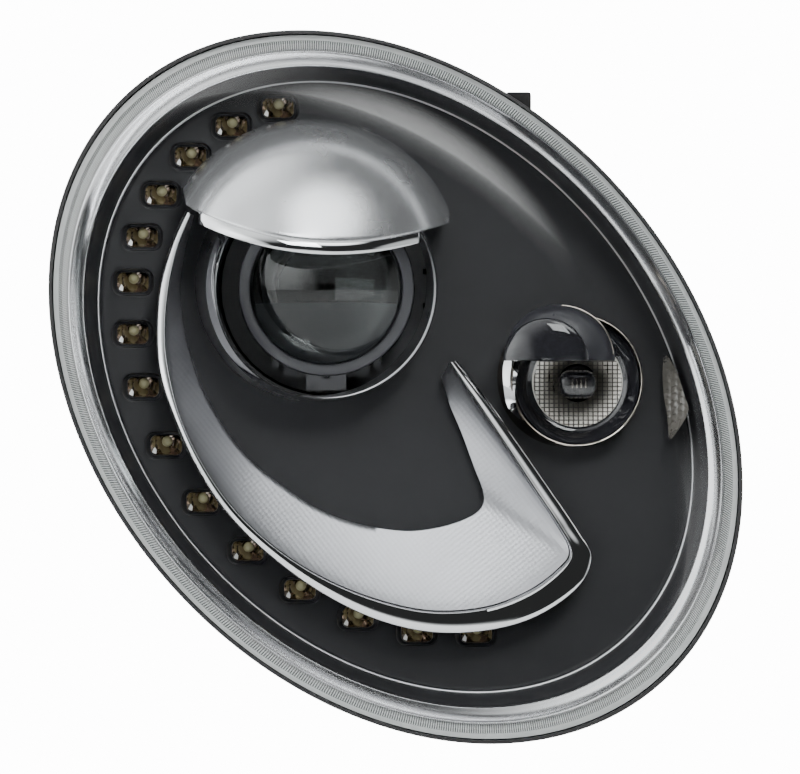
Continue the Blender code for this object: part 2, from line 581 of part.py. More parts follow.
def build_carrier(parts, tools, mat):
    px, pz = PROJECTOR
    carrier = turned("carrier_frame", [(54.5, -92), (61.0, -92), (61.0, -84), (54.5, -84)], PROJECTOR,
                     mat["housing_black"], parts, 36)
    low = pz - TILT_ARM
    carve(carrier, [block("lug", (px - 8, GIMBAL_Y - 7, low - 8), (px + 8, GIMBAL_Y + 7, pz - 57), None, tools)],
          "UNION")
    carve(carrier, [
        rod("pin_hole", (px, GIMBAL_Y, pz + 50), (px, GIMBAL_Y, pz + 70), 2.9, None, tools),
        rod("pin_hole", (px, GIMBAL_Y, pz - 50), (px, GIMBAL_Y, pz - 65.5), 2.9, None, tools),
        rod("socket", (px - 12, GIMBAL_Y, low), (px + 12, GIMBAL_Y, low), 4.6, None, tools, 20),
        block("mouth", (px - 12, GIMBAL_Y, low - 2.6), (px + 12, GIMBAL_Y + 12, low + 2.6), None, tools)])
    pivot(carrier, (px, GIMBAL_Y, pz))
    for side, name in ((-1, "tilt_pin_left"), (1, "tilt_pin_right")):
        pin = rod(name, (px + side * 61.4, GIMBAL_Y, pz), (px + side * 74, GIMBAL_Y, pz), 2.5,
                  mat["zinc_steel"], parts)
        pivot(pin, (px + side * 61.4, GIMBAL_Y, pz))

    # Levelling motor behind the lower lug, and its ball-ended spindle.
    turned("levelling_motor", [(3.4, -52), (16, -52), (16, -3.6), (11.4, -3.6), (11.4, 0.4), (15.5, 0.4),
                               (15.5, 12), (3.4, 12)], (px, low), mat["housing_black"], parts, 28)
    spindle = turned("levelling_spindle", [(0, GIMBAL_Y - 4.0), (2.6, GIMBAL_Y - 3.1), (4.0, GIMBAL_Y),
                                           (3.2, GIMBAL_Y + 2.4), (1.8, GIMBAL_Y + 3.6), (1.8, GIMBAL_Y + 14),
                                           (3.0, GIMBAL_Y + 16), (3.0, -20), (0, -20)], (px, low),
                     mat["nylon_white"], parts, 20)
    pivot(spindle, (px, GIMBAL_Y, low))
    screw = turned("vertical_adjuster", [(0, -34), (6.5, -34), (6.5, -29), (2.6, -26), (2.6, -3.6), (3.5, -3.0),
                                         (3.5, 0.4), (6.0, 0.4), (6.0, 3.0), (4.6, 3.0), (4.6, 9.0), (0, 9.0)],
                   ADJUSTER, mat["nylon_white"], parts, 12)
    pivot(screw, (ADJUSTER[0], 0, ADJUSTER[1]))
    sx = px + SWIVEL_ARM
    screw = turned("horizontal_adjuster", [(2.4, -22), (6.0, -22), (6.0, -3.6), (3.5, -3.2), (3.5, 0.4), (6.0, 0.4),
                                           (6.0, 3.0), (4.6, 3.0), (4.6, 9.0), (2.4, 9.0)], (sx, pz),
                   mat["nylon_white"], parts, 12)
    pivot(screw, (sx, 0, pz))
    rod_end = turned("horizontal_push_rod", [(0, GIMBAL_Y - 3.6), (2.4, GIMBAL_Y - 2.7), (3.6, GIMBAL_Y),
                                             (2.9, GIMBAL_Y + 2.2), (1.7, GIMBAL_Y + 3.3), (1.7, -30),
                                             (2.0, -28), (2.0, -8), (0, -8)], (sx, pz),
                     mat["zinc_steel"], parts, 20)
    pivot(rod_end, (sx, GIMBAL_Y, pz))


def build_rear(parts, tools, mat):
    px, pz = PROJECTOR
    cap = turned("main_cap", [(0, 4.5), (27.5, 4.5), (27.5, -3.5), (30.2, -3.5), (30.2, 2.7), (37, 2.7), (37, 8),
                              (33, 12), (0, 12)], PROJECTOR, mat["housing_black"], parts, 36)
    carve(cap, [block("grip", (px - 26, 11, pz - 4), (px + 26, 19, pz + 4), None, tools)], "UNION")
    pivot(cap, (px, 2.7, pz))
    turned("main_cap_seal", [(31.6, 0.4), (35.8, 0.4), (35.8, 2.3), (31.6, 2.3)], PROJECTOR,
           mat["seal_rubber"], parts, 32)
    # Ballast on its raised seat, over a gasket.
    gasket = block("ballast_gasket", (12, 2.4, -80), (78, 3.8, -40), mat["seal_rubber"], parts)
    carve(gasket, [block("opening", (17, 0, -75), (73, 6, -45), None, tools)])
    ballast = block("ballast", (9, 4.2, -84), (81, 15, -36), mat["cast_alloy"], parts)
    carve(ballast, [block("plug", (39, 0, -65), (51, 4.8, -55), None, tools)], "UNION")
    carve(ballast, [rod("screw_well", (x, 11, z), (x, 20, z), 4.2, None, tools) for x, z in BALLAST_SCREWS])
    for i, at in enumerate(BALLAST_SCREWS):
        turned(f"ballast_screw_{i + 1}", [(0, 11.4), (3.4, 11.4), (3.4, 13.2), (2.4, 14.2), (0, 14.2)], at,
               mat["zinc_steel"], parts, 16)
    inlet = block("connector", (-90, 0.4, -30), (-60, 14, -12), mat["housing_black"], parts)
    carve(inlet, [block("throat", (-87.5, -6, -27.5), (-62.5, 0.6, -14.5), None, tools)], "UNION")
    carve(inlet, [block("socket", (-87.5, 3, -27.5), (-62.5, 20, -14.5), None, tools)])
    pins = [block("blade", (-85.5 + 4.6 * i, 2.5, -22), (-84.3 + 4.6 * i, 10, -20), None, tools)
            for i in range(5)]
    carve(inlet, pins, "UNION")
    for name, at in VENTS.items():
        turned("breather_cap_" + name, [(0, -2), (3.6, -2), (3.6, 0.4), (7, 0.4), (7, 6), (5.5, 7.5), (0, 7.5)], at,
               mat["seal_rubber"], parts, 20)
    for name, (_, _, (front, rear), (x, z, radius, start)) in LUGS.items():
        outer, inner, first = radius - 0.3, radius - 1.5, max(front - 0.5, start + 0.6)
        turned("lug_bush_" + name, [(outer, first), (outer, rear + 0.5), (inner, rear + 0.5), (inner, first)],
               (x, z), mat["zinc_steel"], parts, 20)


def main():
    clear_scene()
    parts = bpy.data.collections.new("car_headlight_assembly")
    tools = bpy.data.collections.new("cutters")
    for collection in (parts, tools):
        bpy.context.scene.collection.children.link(collection)
    tools.hide_render = True
    mat = make_materials()
    build_housing(parts, tools, mat)
    build_front(parts, tools, mat)
    build_crescent(parts, mat)
    build_led_strip(parts, tools, mat)
    build_eyelid(parts, mat)
    build_turn_lamp(parts, tools, mat)
    build_projector(parts, tools, mat)
    build_carrier(parts, tools, mat)
    build_rear(parts, tools, mat)


main()
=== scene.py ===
import json
import math

import bmesh
import bpy
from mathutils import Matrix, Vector


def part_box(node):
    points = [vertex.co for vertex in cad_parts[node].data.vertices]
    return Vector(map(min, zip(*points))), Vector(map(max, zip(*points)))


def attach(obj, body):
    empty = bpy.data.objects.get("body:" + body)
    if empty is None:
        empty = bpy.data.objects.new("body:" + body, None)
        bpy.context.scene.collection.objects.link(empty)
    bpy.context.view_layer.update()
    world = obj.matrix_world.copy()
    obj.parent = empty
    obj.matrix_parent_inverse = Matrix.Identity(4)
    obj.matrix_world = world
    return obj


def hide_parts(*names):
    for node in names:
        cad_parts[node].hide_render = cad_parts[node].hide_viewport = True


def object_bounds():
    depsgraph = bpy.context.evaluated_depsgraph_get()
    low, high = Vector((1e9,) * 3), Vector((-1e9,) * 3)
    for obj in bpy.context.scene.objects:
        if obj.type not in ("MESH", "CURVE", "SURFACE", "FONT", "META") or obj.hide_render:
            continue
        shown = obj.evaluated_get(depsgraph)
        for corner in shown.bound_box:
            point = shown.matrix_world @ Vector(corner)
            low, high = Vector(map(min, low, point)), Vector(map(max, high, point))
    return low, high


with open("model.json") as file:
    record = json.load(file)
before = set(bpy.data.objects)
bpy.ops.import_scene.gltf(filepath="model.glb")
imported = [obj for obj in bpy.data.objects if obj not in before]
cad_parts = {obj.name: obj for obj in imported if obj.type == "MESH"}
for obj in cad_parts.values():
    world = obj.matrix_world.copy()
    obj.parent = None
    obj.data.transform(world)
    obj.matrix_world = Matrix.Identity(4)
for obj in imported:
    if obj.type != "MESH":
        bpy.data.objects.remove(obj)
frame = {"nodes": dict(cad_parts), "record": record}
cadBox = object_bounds()
print("frame loaded")

# The front's oval and its leaning rim plane, in mm, as the CAD housing has them.
oval = {"long": 179.02, "short": 134.84, "turn": math.radians(-47.9), "steps": 288}
rim = {"y": -165.0, "slopeX": 0.25, "slopeZ": 0.30}
bezelDepth = 34.0


# Middle of a CAD node from the front: x and z in mm.
def centreOf(name):
    low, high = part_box(name)
    return tuple(500 * (low[n] + high[n]) for n in (0, 2))


# Axes of the two lamps, x and z.
projector = lampX, lampZ = centreOf("projector_lens")
turnLamp = centreOf("turn_reflector")


def srgb(text):
    parts = [int(text[i:i + 2], 16) / 255 for i in (1, 3, 5)]
    return tuple(c / 12.92 if c <= 0.04045 else ((c + 0.055) / 1.055) ** 2.4 for c in parts) + (1.0,)


def add(tree, kind, inputs=None, **settings):
    made = tree.nodes.new("ShaderNode" + kind)
    for key, value in settings.items():
        setattr(made, key, value)
    for key, value in (inputs or {}).items():
        if isinstance(value, bpy.types.NodeSocket):
            tree.links.new(value, made.inputs[key])
        else:
            made.inputs[key].default_value = value
    return made


def newMaterial(name):
    material = bpy.data.materials.new(name)
    material.use_nodes = True
    material.node_tree.nodes.clear()
    return material, material.node_tree


def finishMaterial(tree, shader):
    output = add(tree, "OutputMaterial")
    tree.links.new(shader, output.inputs["Surface"])


# Noise whose grains are about size mm across.
def objectNoise(tree, size, detail=2.0):
    place = add(tree, "TexCoord").outputs["Object"]
    return add(tree, "TexNoise", {"Vector": place, "Scale": 1000 / size, "Detail": detail}).outputs["Fac"]


def between(tree, value, low, high):
    return add(tree, "MapRange", {"Value": value, "From Min": 0.3, "From Max": 0.7,
                                  "To Min": low, "To Max": high}).outputs["Result"]


def colourBetween(tree, value, first, second):
    mix = add(tree, "Mix", {"Factor": value}, data_type="RGBA")
    mix.inputs["A"].default_value = srgb(first)
    mix.inputs["B"].default_value = srgb(second)
    return mix.outputs["Result"]


# Moulded plastic: faint cloudiness in the colour, and a fine grain of that many mm.
def plasticFinish(name, dark, light, roughness, grain=0.25, bump=0.05, coat=0.0, specular=0.5):
    material, tree = newMaterial(name)
    cloud = objectNoise(tree, 14, 3)
    grains = objectNoise(tree, grain, 2)
    lift = add(tree, "Bump", {"Height": grains, "Strength": bump, "Distance": 0.0002}).outputs["Normal"]
    shader = add(tree, "BsdfPrincipled", {
        "Base Color": colourBetween(tree, cloud, dark, light),
        "Roughness": between(tree, cloud, roughness * 0.85, roughness * 1.2), "Normal": lift,
        "Coat Weight": coat, "Coat Roughness": 0.05, "Specular IOR Level": specular})
    finishMaterial(tree, shader.outputs["BSDF"])
    return material


# Bare or plated metal, with a grain of that many mm.
def metalFinish(name, dark, light, roughness, grain=0.3, bump=0.0, metallic=1.0):
    material, tree = newMaterial(name)
    grains = objectNoise(tree, grain)
    cloud = objectNoise(tree, 20, 2)
    lift = add(tree, "Bump", {"Height": grains, "Strength": bump, "Distance": 0.0002}).outputs["Normal"]
    shader = add(tree, "BsdfPrincipled", {
        "Base Color": colourBetween(tree, cloud, dark, light), "Metallic": metallic,
        "Roughness": between(tree, cloud, roughness * 0.85, roughness * 1.15), "Normal": lift})
    finishMaterial(tree, shader.outputs["BSDF"])
    return material


# Clear moulded polycarbonate: see-through, with a share of the sheen that its angle gives.
def clearFinish(name, sheen):
    material, tree = newMaterial(name)
    grains = objectNoise(tree, 60, 2)
    lift = add(tree, "Bump", {"Height": grains, "Strength": 0.02, "Distance": 0.001}).outputs["Normal"]
    gloss = add(tree, "BsdfPrincipled", {
        "Base Color": colourBetween(tree, grains, "#f4f4f4", "#ffffff"), "Roughness": 0.03, "Normal": lift,
        "Metallic": 1.0})
    through = add(tree, "BsdfTransparent", {"Color": srgb("#fcfdfd")})
    edge = add(tree, "Fresnel", {"IOR": 1.49, "Normal": lift}).outputs["Fac"]
    glancing = add(tree, "Math", {0: edge, 1: 0.16}, operation="SUBTRACT", use_clamp=True).outputs["Value"]
    share = add(tree, "Math", {0: glancing, 1: sheen}, operation="MULTIPLY").outputs["Value"]
    mix = add(tree, "MixShader", {0: share, 1: through.outputs["BSDF"], 2: gloss.outputs["BSDF"]})
    finishMaterial(tree, mix.outputs["Shader"])
    return material


# Satin metallised trim with a fine slanting hatch pressed into it, about 1 mm apart.
def satinFinish(name):
    material, tree = newMaterial(name)
    place = add(tree, "TexCoord").outputs["Object"]
    height = None
    for angle in (38, -52):
        turned = add(tree, "Mapping", {"Vector": place, "Rotation": (0, math.radians(angle), 0)})
        wave = add(tree, "TexWave", {"Vector": turned.outputs["Vector"], "Scale": 1000 / 6.3, "Distortion": 0.3},
                   bands_direction="X").outputs["Fac"]
        if height is not None:
            wave = add(tree, "Math", {0: height, 1: wave}, operation="ADD").outputs["Value"]
        height = wave
    lift = add(tree, "Bump", {"Height": height, "Strength": 0.12, "Distance": 0.0002}).outputs["Normal"]
    cloud = objectNoise(tree, 30, 2)
    shader = add(tree, "BsdfPrincipled", {
        "Base Color": colourBetween(tree, cloud, "#aeaeb2", "#b6b6ba"), "Metallic": 1.0,
        "Roughness": between(tree, cloud, 0.36, 0.42), "Normal": lift})
    finishMaterial(tree, shader.outputs["BSDF"])
    return material


def glassFinish(name, dark, light):
    material, tree = newMaterial(name)
    cloud = objectNoise(tree, 40, 1)
    shader = add(tree, "BsdfPrincipled", {
        "Base Color": colourBetween(tree, cloud, dark, light), "Roughness": 0.0, "IOR": 1.5,
        "Transmission Weight": 1.0})
    finishMaterial(tree, shader.outputs["BSDF"])
    return material


finishes = {
    "coverClear": clearFinish("clear polycarbonate", 0.12),
    "coverEdge": plasticFinish("clear cover's ground edge", "#b4b6b6", "#c4c6c5", 0.25, 0.8, 0.05),
    "teeth": plasticFinish("clear cover's toothed land", "#c6c9c8", "#d4d6d5", 0.18, 0.8, 0.03),
    "groove": plasticFinish("shade between the cover's teeth", "#4a4c4a", "#5a5c5a", 0.4, 0.8, 0.03),
    "chrome": metalFinish("vacuum plated chrome", "#e6e6e8", "#f0f0f1", 0.05),
    "chromeDim": metalFinish("smoked chrome", "#9a948c", "#b0a8a0", 0.12),
    "satin": satinFinish("satin silver trim with fine hatch"),
    "dome": metalFinish("satin silver paint", "#d6d6d9", "#dedee0", 0.25, 1.0, 0.0, metallic=0.86),
    "ringWall": metalFinish("satin plated side of the lamp rings", "#b9b9bb", "#c8c8ca", 0.32, 0.6, 0.02),
    "flutes": plasticFinish("bright flutes of the turn lamp", "#f2ece2", "#fffdf8", 0.12, 3.0, 0.0, 1.0),
    "fluteGap": plasticFinish("shade between the flutes", "#3d3832", "#5a544c", 0.3, 1.0, 0.0),
    # LED cup plating: real metal, with a brown tint that is painted reflection.
    "ledBowl": metalFinish("LED cup plating with a painted brown reflection tint", "#968a80", "#c4b8ae", 0.12, 1.4, 0.3),
    "bezel": plasticFinish("black bezel plastic", "#28282a", "#2c2c2e", 0.36, 3.0, 0.0, specular=0.12),
    "pod": plasticFinish("black pod plastic", "#2c2c30", "#333338", 0.30, 3.0, 0.0),
    "scales": plasticFinish("grey scaled reflex plastic", "#4c4a46", "#66625d", 0.25, 2.0, 0.0, 0.5),
    # Painted light: parts deep in the projector's cup get a paler grey than their own, to make up for the shade
    # there.
    "insidePaleForShade": plasticFinish("projector inside, paler grey as painted light", "#838388", "#8f8f93", 0.45, 3.0, 0.0),
    "ringChrome": metalFinish("bright satin chrome of the outer ring", "#e4e4e6", "#efeff0", 0.17, 0.8, 0.0),
    "piano": plasticFinish("piano black plastic", "#1c1c1f", "#232327", 0.05, 3.0, 0.0, 0.8),
    "housing": plasticFinish("black glass-filled nylon", "#121213", "#1a1a1c", 0.5, 0.5, 0.3),
    "rubber": plasticFinish("black rubber", "#141414", "#1c1c1c", 0.75, 0.4, 0.3),
    "collar": plasticFinish("dark grey collar paint", "#38383c", "#404044", 0.4, 3.0, 0.0),
    "glass": glassFinish("pressed optical glass", "#a9adae", "#b4b8b9"),
    "bulbGlass": glassFinish("quartz bulb glass", "#eef2f2", "#ffffff"),
    "steel": metalFinish("zinc plated steel", "#a8a9a6", "#c2c2bd", 0.3, 0.25, 0.05),
    "cast": metalFinish("die cast aluminium", "#9fa0a2", "#b2b3b4", 0.42, 0.5, 0.15),
    "nylon": plasticFinish("natural nylon", "#cfccc0", "#dcd9cf", 0.45, 0.4, 0.1),
    "board": plasticFinish("white circuit board", "#c4c5c0", "#d2d3ce", 0.4, 0.3, 0.05),
    "amber": metalFinish("silvered bulb glass", "#8d8a86", "#a09c96", 0.1),
    "chip": plasticFinish("yellow phosphor", "#98946f", "#aeaa86", 0.3, 1.5, 0.02),
    # Painted highlight: near-white patches in the LED windows.
    "prismHighlight": plasticFinish("white patch painted as a prism highlight", "#f2f2f0", "#ffffff", 0.1, 0.5, 0.0),
}

print("materials made")


def rimY(x, z):
    return rim["y"] + rim["slopeX"] * x + rim["slopeZ"] * z


def bezelY(x, z):
    return rimY(x, z) + bezelDepth


# The front's oval leans to the left, and so do the others that share its turn.
def ovalXz(long, short, angle, centre=(0.0, 0.0)):
    a, b = long * math.cos(angle), short * math.sin(angle)
    c, s = math.cos(oval["turn"]), math.sin(oval["turn"])
    return centre[0] + a * c - b * s, centre[1] + a * s + b * c


# Point of the oval scaled by rho, that deep behind the rim plane; back blends its y toward backY.
def ovalPoint(rho, angle, depth, back=0.0, backY=0.0):
    x, z = ovalXz(oval["long"] * rho, oval["short"] * rho, angle)
    return x, (rimY(x, z) + depth) * (1 - back) + backY * back, z


# Catmull-Rom curve through the stations, ends included.
def smooth(points, steps):
    found = []
    last = len(points) - 1
    for i in range(steps + 1):
        place = i / steps * last
        k = min(int(place), last - 1)
        u = place - k
        p = [points[min(max(k + j, 0), last)] for j in (-1, 0, 1, 2)]
        found.append(tuple(
            0.5 * (2 * p[1][n] + (p[2][n] - p[0][n]) * u
                   + (2 * p[0][n] - 5 * p[1][n] + 4 * p[2][n] - p[3][n]) * u * u
                   + (3 * p[1][n] - p[0][n] - 3 * p[2][n] + p[3][n]) * u ** 3)
            for n in range(len(p[1]))))
    return found


# A finished piece in world place: normals outward, smooth with crisp edges over the sharp angle.
def piece(name, points, faces, finish, body="case", replaces=(), sharp=35):
    mesh = bpy.data.meshes.new(name)
    mesh.from_pydata([Vector(p) * 0.001 for p in points], [], faces)
    work = bmesh.new()
    work.from_mesh(mesh)
    bmesh.ops.recalc_face_normals(work, faces=work.faces)
    work.to_mesh(mesh)
    work.free()
    mesh.materials.append(finishes[finish])
    mesh.shade_smooth()
    mesh.set_sharp_from_angle(angle=math.radians(sharp))
    obj = bpy.data.objects.new(name, mesh)
    bpy.context.scene.collection.objects.link(obj)
    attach(obj, body)
    for node in replaces:
        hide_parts(node)
    return obj


# Faces over rings of points; a ring of one point is a pole.
def skinOf(rings, closed):
    points, starts, faces = [], [], []
    for ring in rings:
        starts.append((len(points), len(ring)))
        points += ring
    pairs = list(zip(starts, starts[1:]))
    if closed:
        pairs.append((starts[-1], starts[0]))
    for (a, na), (b, nb) in pairs:
        for i in range(max(na, nb)):
            j = (i + 1) % max(na, nb)
            if na == 1:
                faces.append((a, b + j, b + i))
            elif nb == 1:
                faces.append((a + i, a + j, b))
            else:
                faces.append((a + i, a + j, b + j, b + i))
    return points, faces


# Goes round the front's oval: each profile row is a share of the oval, then what ovalPoint takes after the angle.
def ovalPiece(name, profile, finish, closed=True, steps=None, **more):
    steps = steps or oval["steps"]
    rings = []
    for row in profile:
        if row[0] == 0:
            rings.append([ovalPoint(0, 0, *row[1:])])
        else:
            rings.append([ovalPoint(row[0], 2 * math.pi * i / steps, *row[1:]) for i in range(steps)])
    return piece(name, *skinOf(rings, closed), finish, **more)


# Turned about an axis along Y: profile holds (radius, y).
def turnedPiece(name, profile, at, finish, steps=96, **more):
    rings = []
    for radius, y in profile:
        if radius == 0:
            rings.append([(at[0], y, at[1])])
        else:
            rings.append([(at[0] + radius * math.cos(2 * math.pi * i / steps), y,
                           at[1] + radius * math.sin(2 * math.pi * i / steps)) for i in range(steps)])
    return piece(name, *skinOf(rings, profile[0][0] != 0), finish, **more)


# A ring that leans with the bezel: (radius, height over bezel, x shift, z shift[, flat y]).
def leaningPiece(name, at, profile, finish, **more):
    steps = 160
    rings = []
    for row in profile:
        ring = []
        for i in range(steps):
            turn = 2 * math.pi * i / steps
            x, z = at[0] + row[2] + row[0] * math.cos(turn), at[1] + row[3] + row[0] * math.sin(turn)
            ring.append((x, row[4] if len(row) > 4 else bezelY(x, z) - row[1], z))
        rings.append(ring)
    return piece(name, *skinOf(rings, True), finish, **more)


# A closed shell between two equal grids.
def slabPiece(name, front, back, finish, **more):
    rows, cols = len(front), len(front[0])
    points = [p for row in front for p in row] + [p for row in back for p in row]
    faces = []
    for i in range(rows - 1):
        for j in range(cols - 1):
            k = i * cols + j
            faces.append((k, k + 1, k + cols + 1, k + cols))
            k += rows * cols
            faces.append((k, k + cols, k + cols + 1, k + 1))
    edge = list(range(cols)) + [i * cols + cols - 1 for i in range(1, rows)]
    edge += [(rows - 1) * cols + j for j in range(cols - 2, -1, -1)] + [i * cols for i in range(rows - 2, 0, -1)]
    for a, b in zip(edge, edge[1:] + edge[:1]):
        faces.append((a, b, b + rows * cols, a + rows * cols))
    return piece(name, points, faces, finish, **more)


def carve(obj, others, operation="DIFFERENCE"):
    for other in others:
        step = obj.modifiers.new("carve", "BOOLEAN")
        step.operation = operation
        step.solver = "EXACT"
        step.object = other
    graph = bpy.context.evaluated_depsgraph_get()
    made = bpy.data.meshes.new_from_object(obj.evaluated_get(graph))
    obj.modifiers.clear()
    obj.data = made
    made.shade_smooth()
    made.set_sharp_from_angle(angle=math.radians(35))
    for other in others:
        bpy.data.objects.remove(other, do_unlink=True)


# A helper body for carve, from rings of points in mm.
def cutter(rings):
    points, faces = skinOf(rings, False)
    mesh = bpy.data.meshes.new("cutter")
    mesh.from_pydata([Vector(p) * 0.001 for p in points], [], faces)
    work = bmesh.new()
    work.from_mesh(mesh)
    bmesh.ops.recalc_face_normals(work, faces=work.faces)
    if work.calc_volume(signed=True) < 0:
        bmesh.ops.reverse_faces(work, faces=work.faces)
    work.to_mesh(mesh)
    work.free()
    obj = bpy.data.objects.new("cutter", mesh)
    bpy.context.scene.collection.objects.link(obj)
    return obj


# Points round a rounded rectangle in the X-Z plane; y is a number or a function of x and z.
def roundedLoop(cx, cz, width, height, corner, y, steps=8):
    loop = []
    for quarter, (sx, sz) in enumerate(((1, 1), (-1, 1), (-1, -1), (1, -1))):
        for i in range(steps + 1):
            turn = math.radians(90 * quarter + 90 * i / steps)
            x = cx + sx * (width / 2 - corner) + corner * math.cos(turn)
            z = cz + sz * (height / 2 - corner) + corner * math.sin(turn)
            loop.append((x, y(x, z) if callable(y) else y, z))
    return loop


def circleLoop(at, radius, y, steps=64):
    return [(at[0] + radius * math.cos(2 * math.pi * i / steps), y,
             at[1] + radius * math.sin(2 * math.pi * i / steps)) for i in range(steps)]


# A cutter along Y with this outline.
def prism(loop, low, high):
    cx = sum(p[0] for p in loop) / len(loop)
    cz = sum(p[2] for p in loop) / len(loop)
    rings = [[(cx, low, cz)], [(x, low, z) for x, _, z in loop], [(x, high, z) for x, _, z in loop],
             [(cx, high, cz)]]
    return cutter(rings)


# One piece from several (points, faces) bodies.
def joined(name, parts, finish, **more):
    points, faces = [], []
    for morePoints, moreFaces in parts:
        start = len(points)
        points += morePoints
        faces += [tuple(start + k for k in face) for face in moreFaces]
    return piece(name, points, faces, finish, **more)


cover = {"edge": 0.986, "rise": 46.0, "wall": 2.8, "rings": 22, "teeth": 900, "toothHeight": 0.45}


def coverRise(r):
    return -6 - cover["rise"] * (1 - min(1.0, r / cover["edge"]) ** 2.6) ** 0.75


def makeCover():
    stations = [math.sin(math.pi / 2 * (i + 1) / cover["rings"]) ** 0.9 for i in range(cover["rings"] - 1)]
    outer = [(0, coverRise(0))] + [(s * cover["edge"], coverRise(s * cover["edge"])) for s in stations]
    outer += [(0.9845, -7.0), (cover["edge"], -5), (cover["edge"], 8.5)]
    inner = [(0.972, 8.5), (0.972, -3)]
    inner += [(s * cover["edge"] * 0.982, coverRise(s * cover["edge"]) + cover["wall"]) for s in stations[::-1][1:]]
    inner += [(0, coverRise(0) + cover["wall"])]
    ovalPiece("outer_lens_clear", outer + inner, "coverClear", closed=False, replaces=["outer_lens"], sharp=50)
    ovalPiece("outer_lens_land", [(0.9705, 2.4), (0.9705, 1.2), (0.971, 0.6), (0.9855, 0.6), (0.9855, 2.4)],
              "coverEdge", replaces=["lens_seal"])
    # Slanting teeth on the land: each tooth is a ridge, twisted a little along the band.
    count = cover["teeth"] * 4
    rings = []
    for k in range(6):
        u = k / 5
        rho = 0.9703 - 0.0233 * u
        ring = []
        for i in range(count):
            angle = 2 * math.pi * (i / count + 0.9 * u / cover["teeth"])
            lift = cover["toothHeight"] * (0.5, 1.0, 0.5, 0.0)[i % 4] * min(1, 6 * u + 0.15, 6 * (1 - u) + 0.15)
            ring.append(ovalPoint(rho, angle, 1.3 + 1.4 * u - lift))
        rings.append(ring)
    rings.append([ovalPoint(0.947, 2 * math.pi * i / count, 4.0) for i in range(count)])
    rings.append([ovalPoint(0.9703, 2 * math.pi * i / count, 4.0) for i in range(count)])
    band = piece("outer_lens_teeth", *skinOf(rings, True), "teeth", sharp=20)
    band.data.materials.append(finishes["groove"])
    for face in band.data.polygons[:5 * count]:
        face.material_index = 1 if face.index % 4 > 1 else 0


# Section of the chrome ring: share of the oval, and depth behind the rim plane in mm.
chromeRing = {"section": [
    (0.9455, 5.5), (0.9465, 3.0), (0.9455, 1.2), (0.943, 0.3), (0.9405, 0.1), (0.938, 0.5), (0.933, 1.7),
    (0.928, 2.8), (0.922, 4.0), (0.915, 5.2), (0.908, 6.2), (0.9025, 6.9), (0.8995, 7.4), (0.8978, 8.2),
    (0.8978, 9.6), (0.905, 9.8), (0.915, 9.0), (0.93, 7.5)]}


def makeChromeRing():
    ovalPiece("chrome_ring_trim", chromeRing["section"], "ringChrome", replaces=["chrome_ring"], sharp=60)


# LEDs on their own oval: angles in degrees, pocket and window as width, height and corner.
led = {"centre": (-1.6, 8.6), "long": 131.7, "short": 104.75,
       "angles": [157.5, 169.6, 182.2, 194.1, 205.2, 215.8, 227.2, 238.6, 251.3, 264.6, 277.7, 290.6, 303.7, 316.7,
                  330.0],
       "pocket": (19.5, 13.2, 5.0), "window": (14.2, 9.0, 2.6), "chip": 2.4}


def ledPlaces():
    return [ovalXz(led["long"], led["short"], math.radians(a), led["centre"]) for a in led["angles"]]


bezel = {
    "section": [
        (0, 34), (0.3, 34), (0.6, 34), (0.840, 34), (0.844, 34), (0.850, 33.9), (0.8545, 33.4), (0.8575, 32.4),
        (0.859, 31.0), (0.868, 25), (0.88, 19), (0.89, 13), (0.8965, 9.2), (0.899, 8.8), (0.905, 10.5), (0.888, 19),
        (0.872, 30), (0.864, 36), (0.6, 36.4), (0.3, 36.4), (0, 36.4)],
    "lampHole": 48.5, "turnHole": 27.5, "steps": 240,
    # Painted highlight: a bright satin bead in the corner stands in for the light caught by the bezel's rounded
    # edge; middle and half sizes of its section.
    "highlightBead": (0.8585, 31.2, 0.0045, 0.65)}


def makeBezel():
    shell = ovalPiece("inner_bezel_shell", bezel["section"], "bezel", closed=False, steps=bezel["steps"],
                      replaces=["inner_bezel"])
    width, height, corner = led["pocket"]
    cuts = [prism(circleLoop(projector, bezel["lampHole"], 0, 96), -190, -80),
            prism(circleLoop(turnLamp, bezel["turnHole"], 0, 96), -150, -70)]
    for x, z in ledPlaces():
        cuts.append(prism(roundedLoop(x, z, width, height, corner, 0), bezelY(x, z) - 12, bezelY(x, z) + 12))
    carve(shell, cuts)
    # Satin bead along the black bezel's corner: painted highlight of its rounded edge.
    rho, depth, wide, deep = bezel["highlightBead"]
    angles = [2 * math.pi * k / 12 for k in range(12)]
    highlightBead = [(rho + wide * math.cos(a), depth + deep * math.sin(a)) for a in angles]
    ovalPiece("bezel_edge_highlight", highlightBead, "ringWall", steps=bezel["steps"], sharp=80)


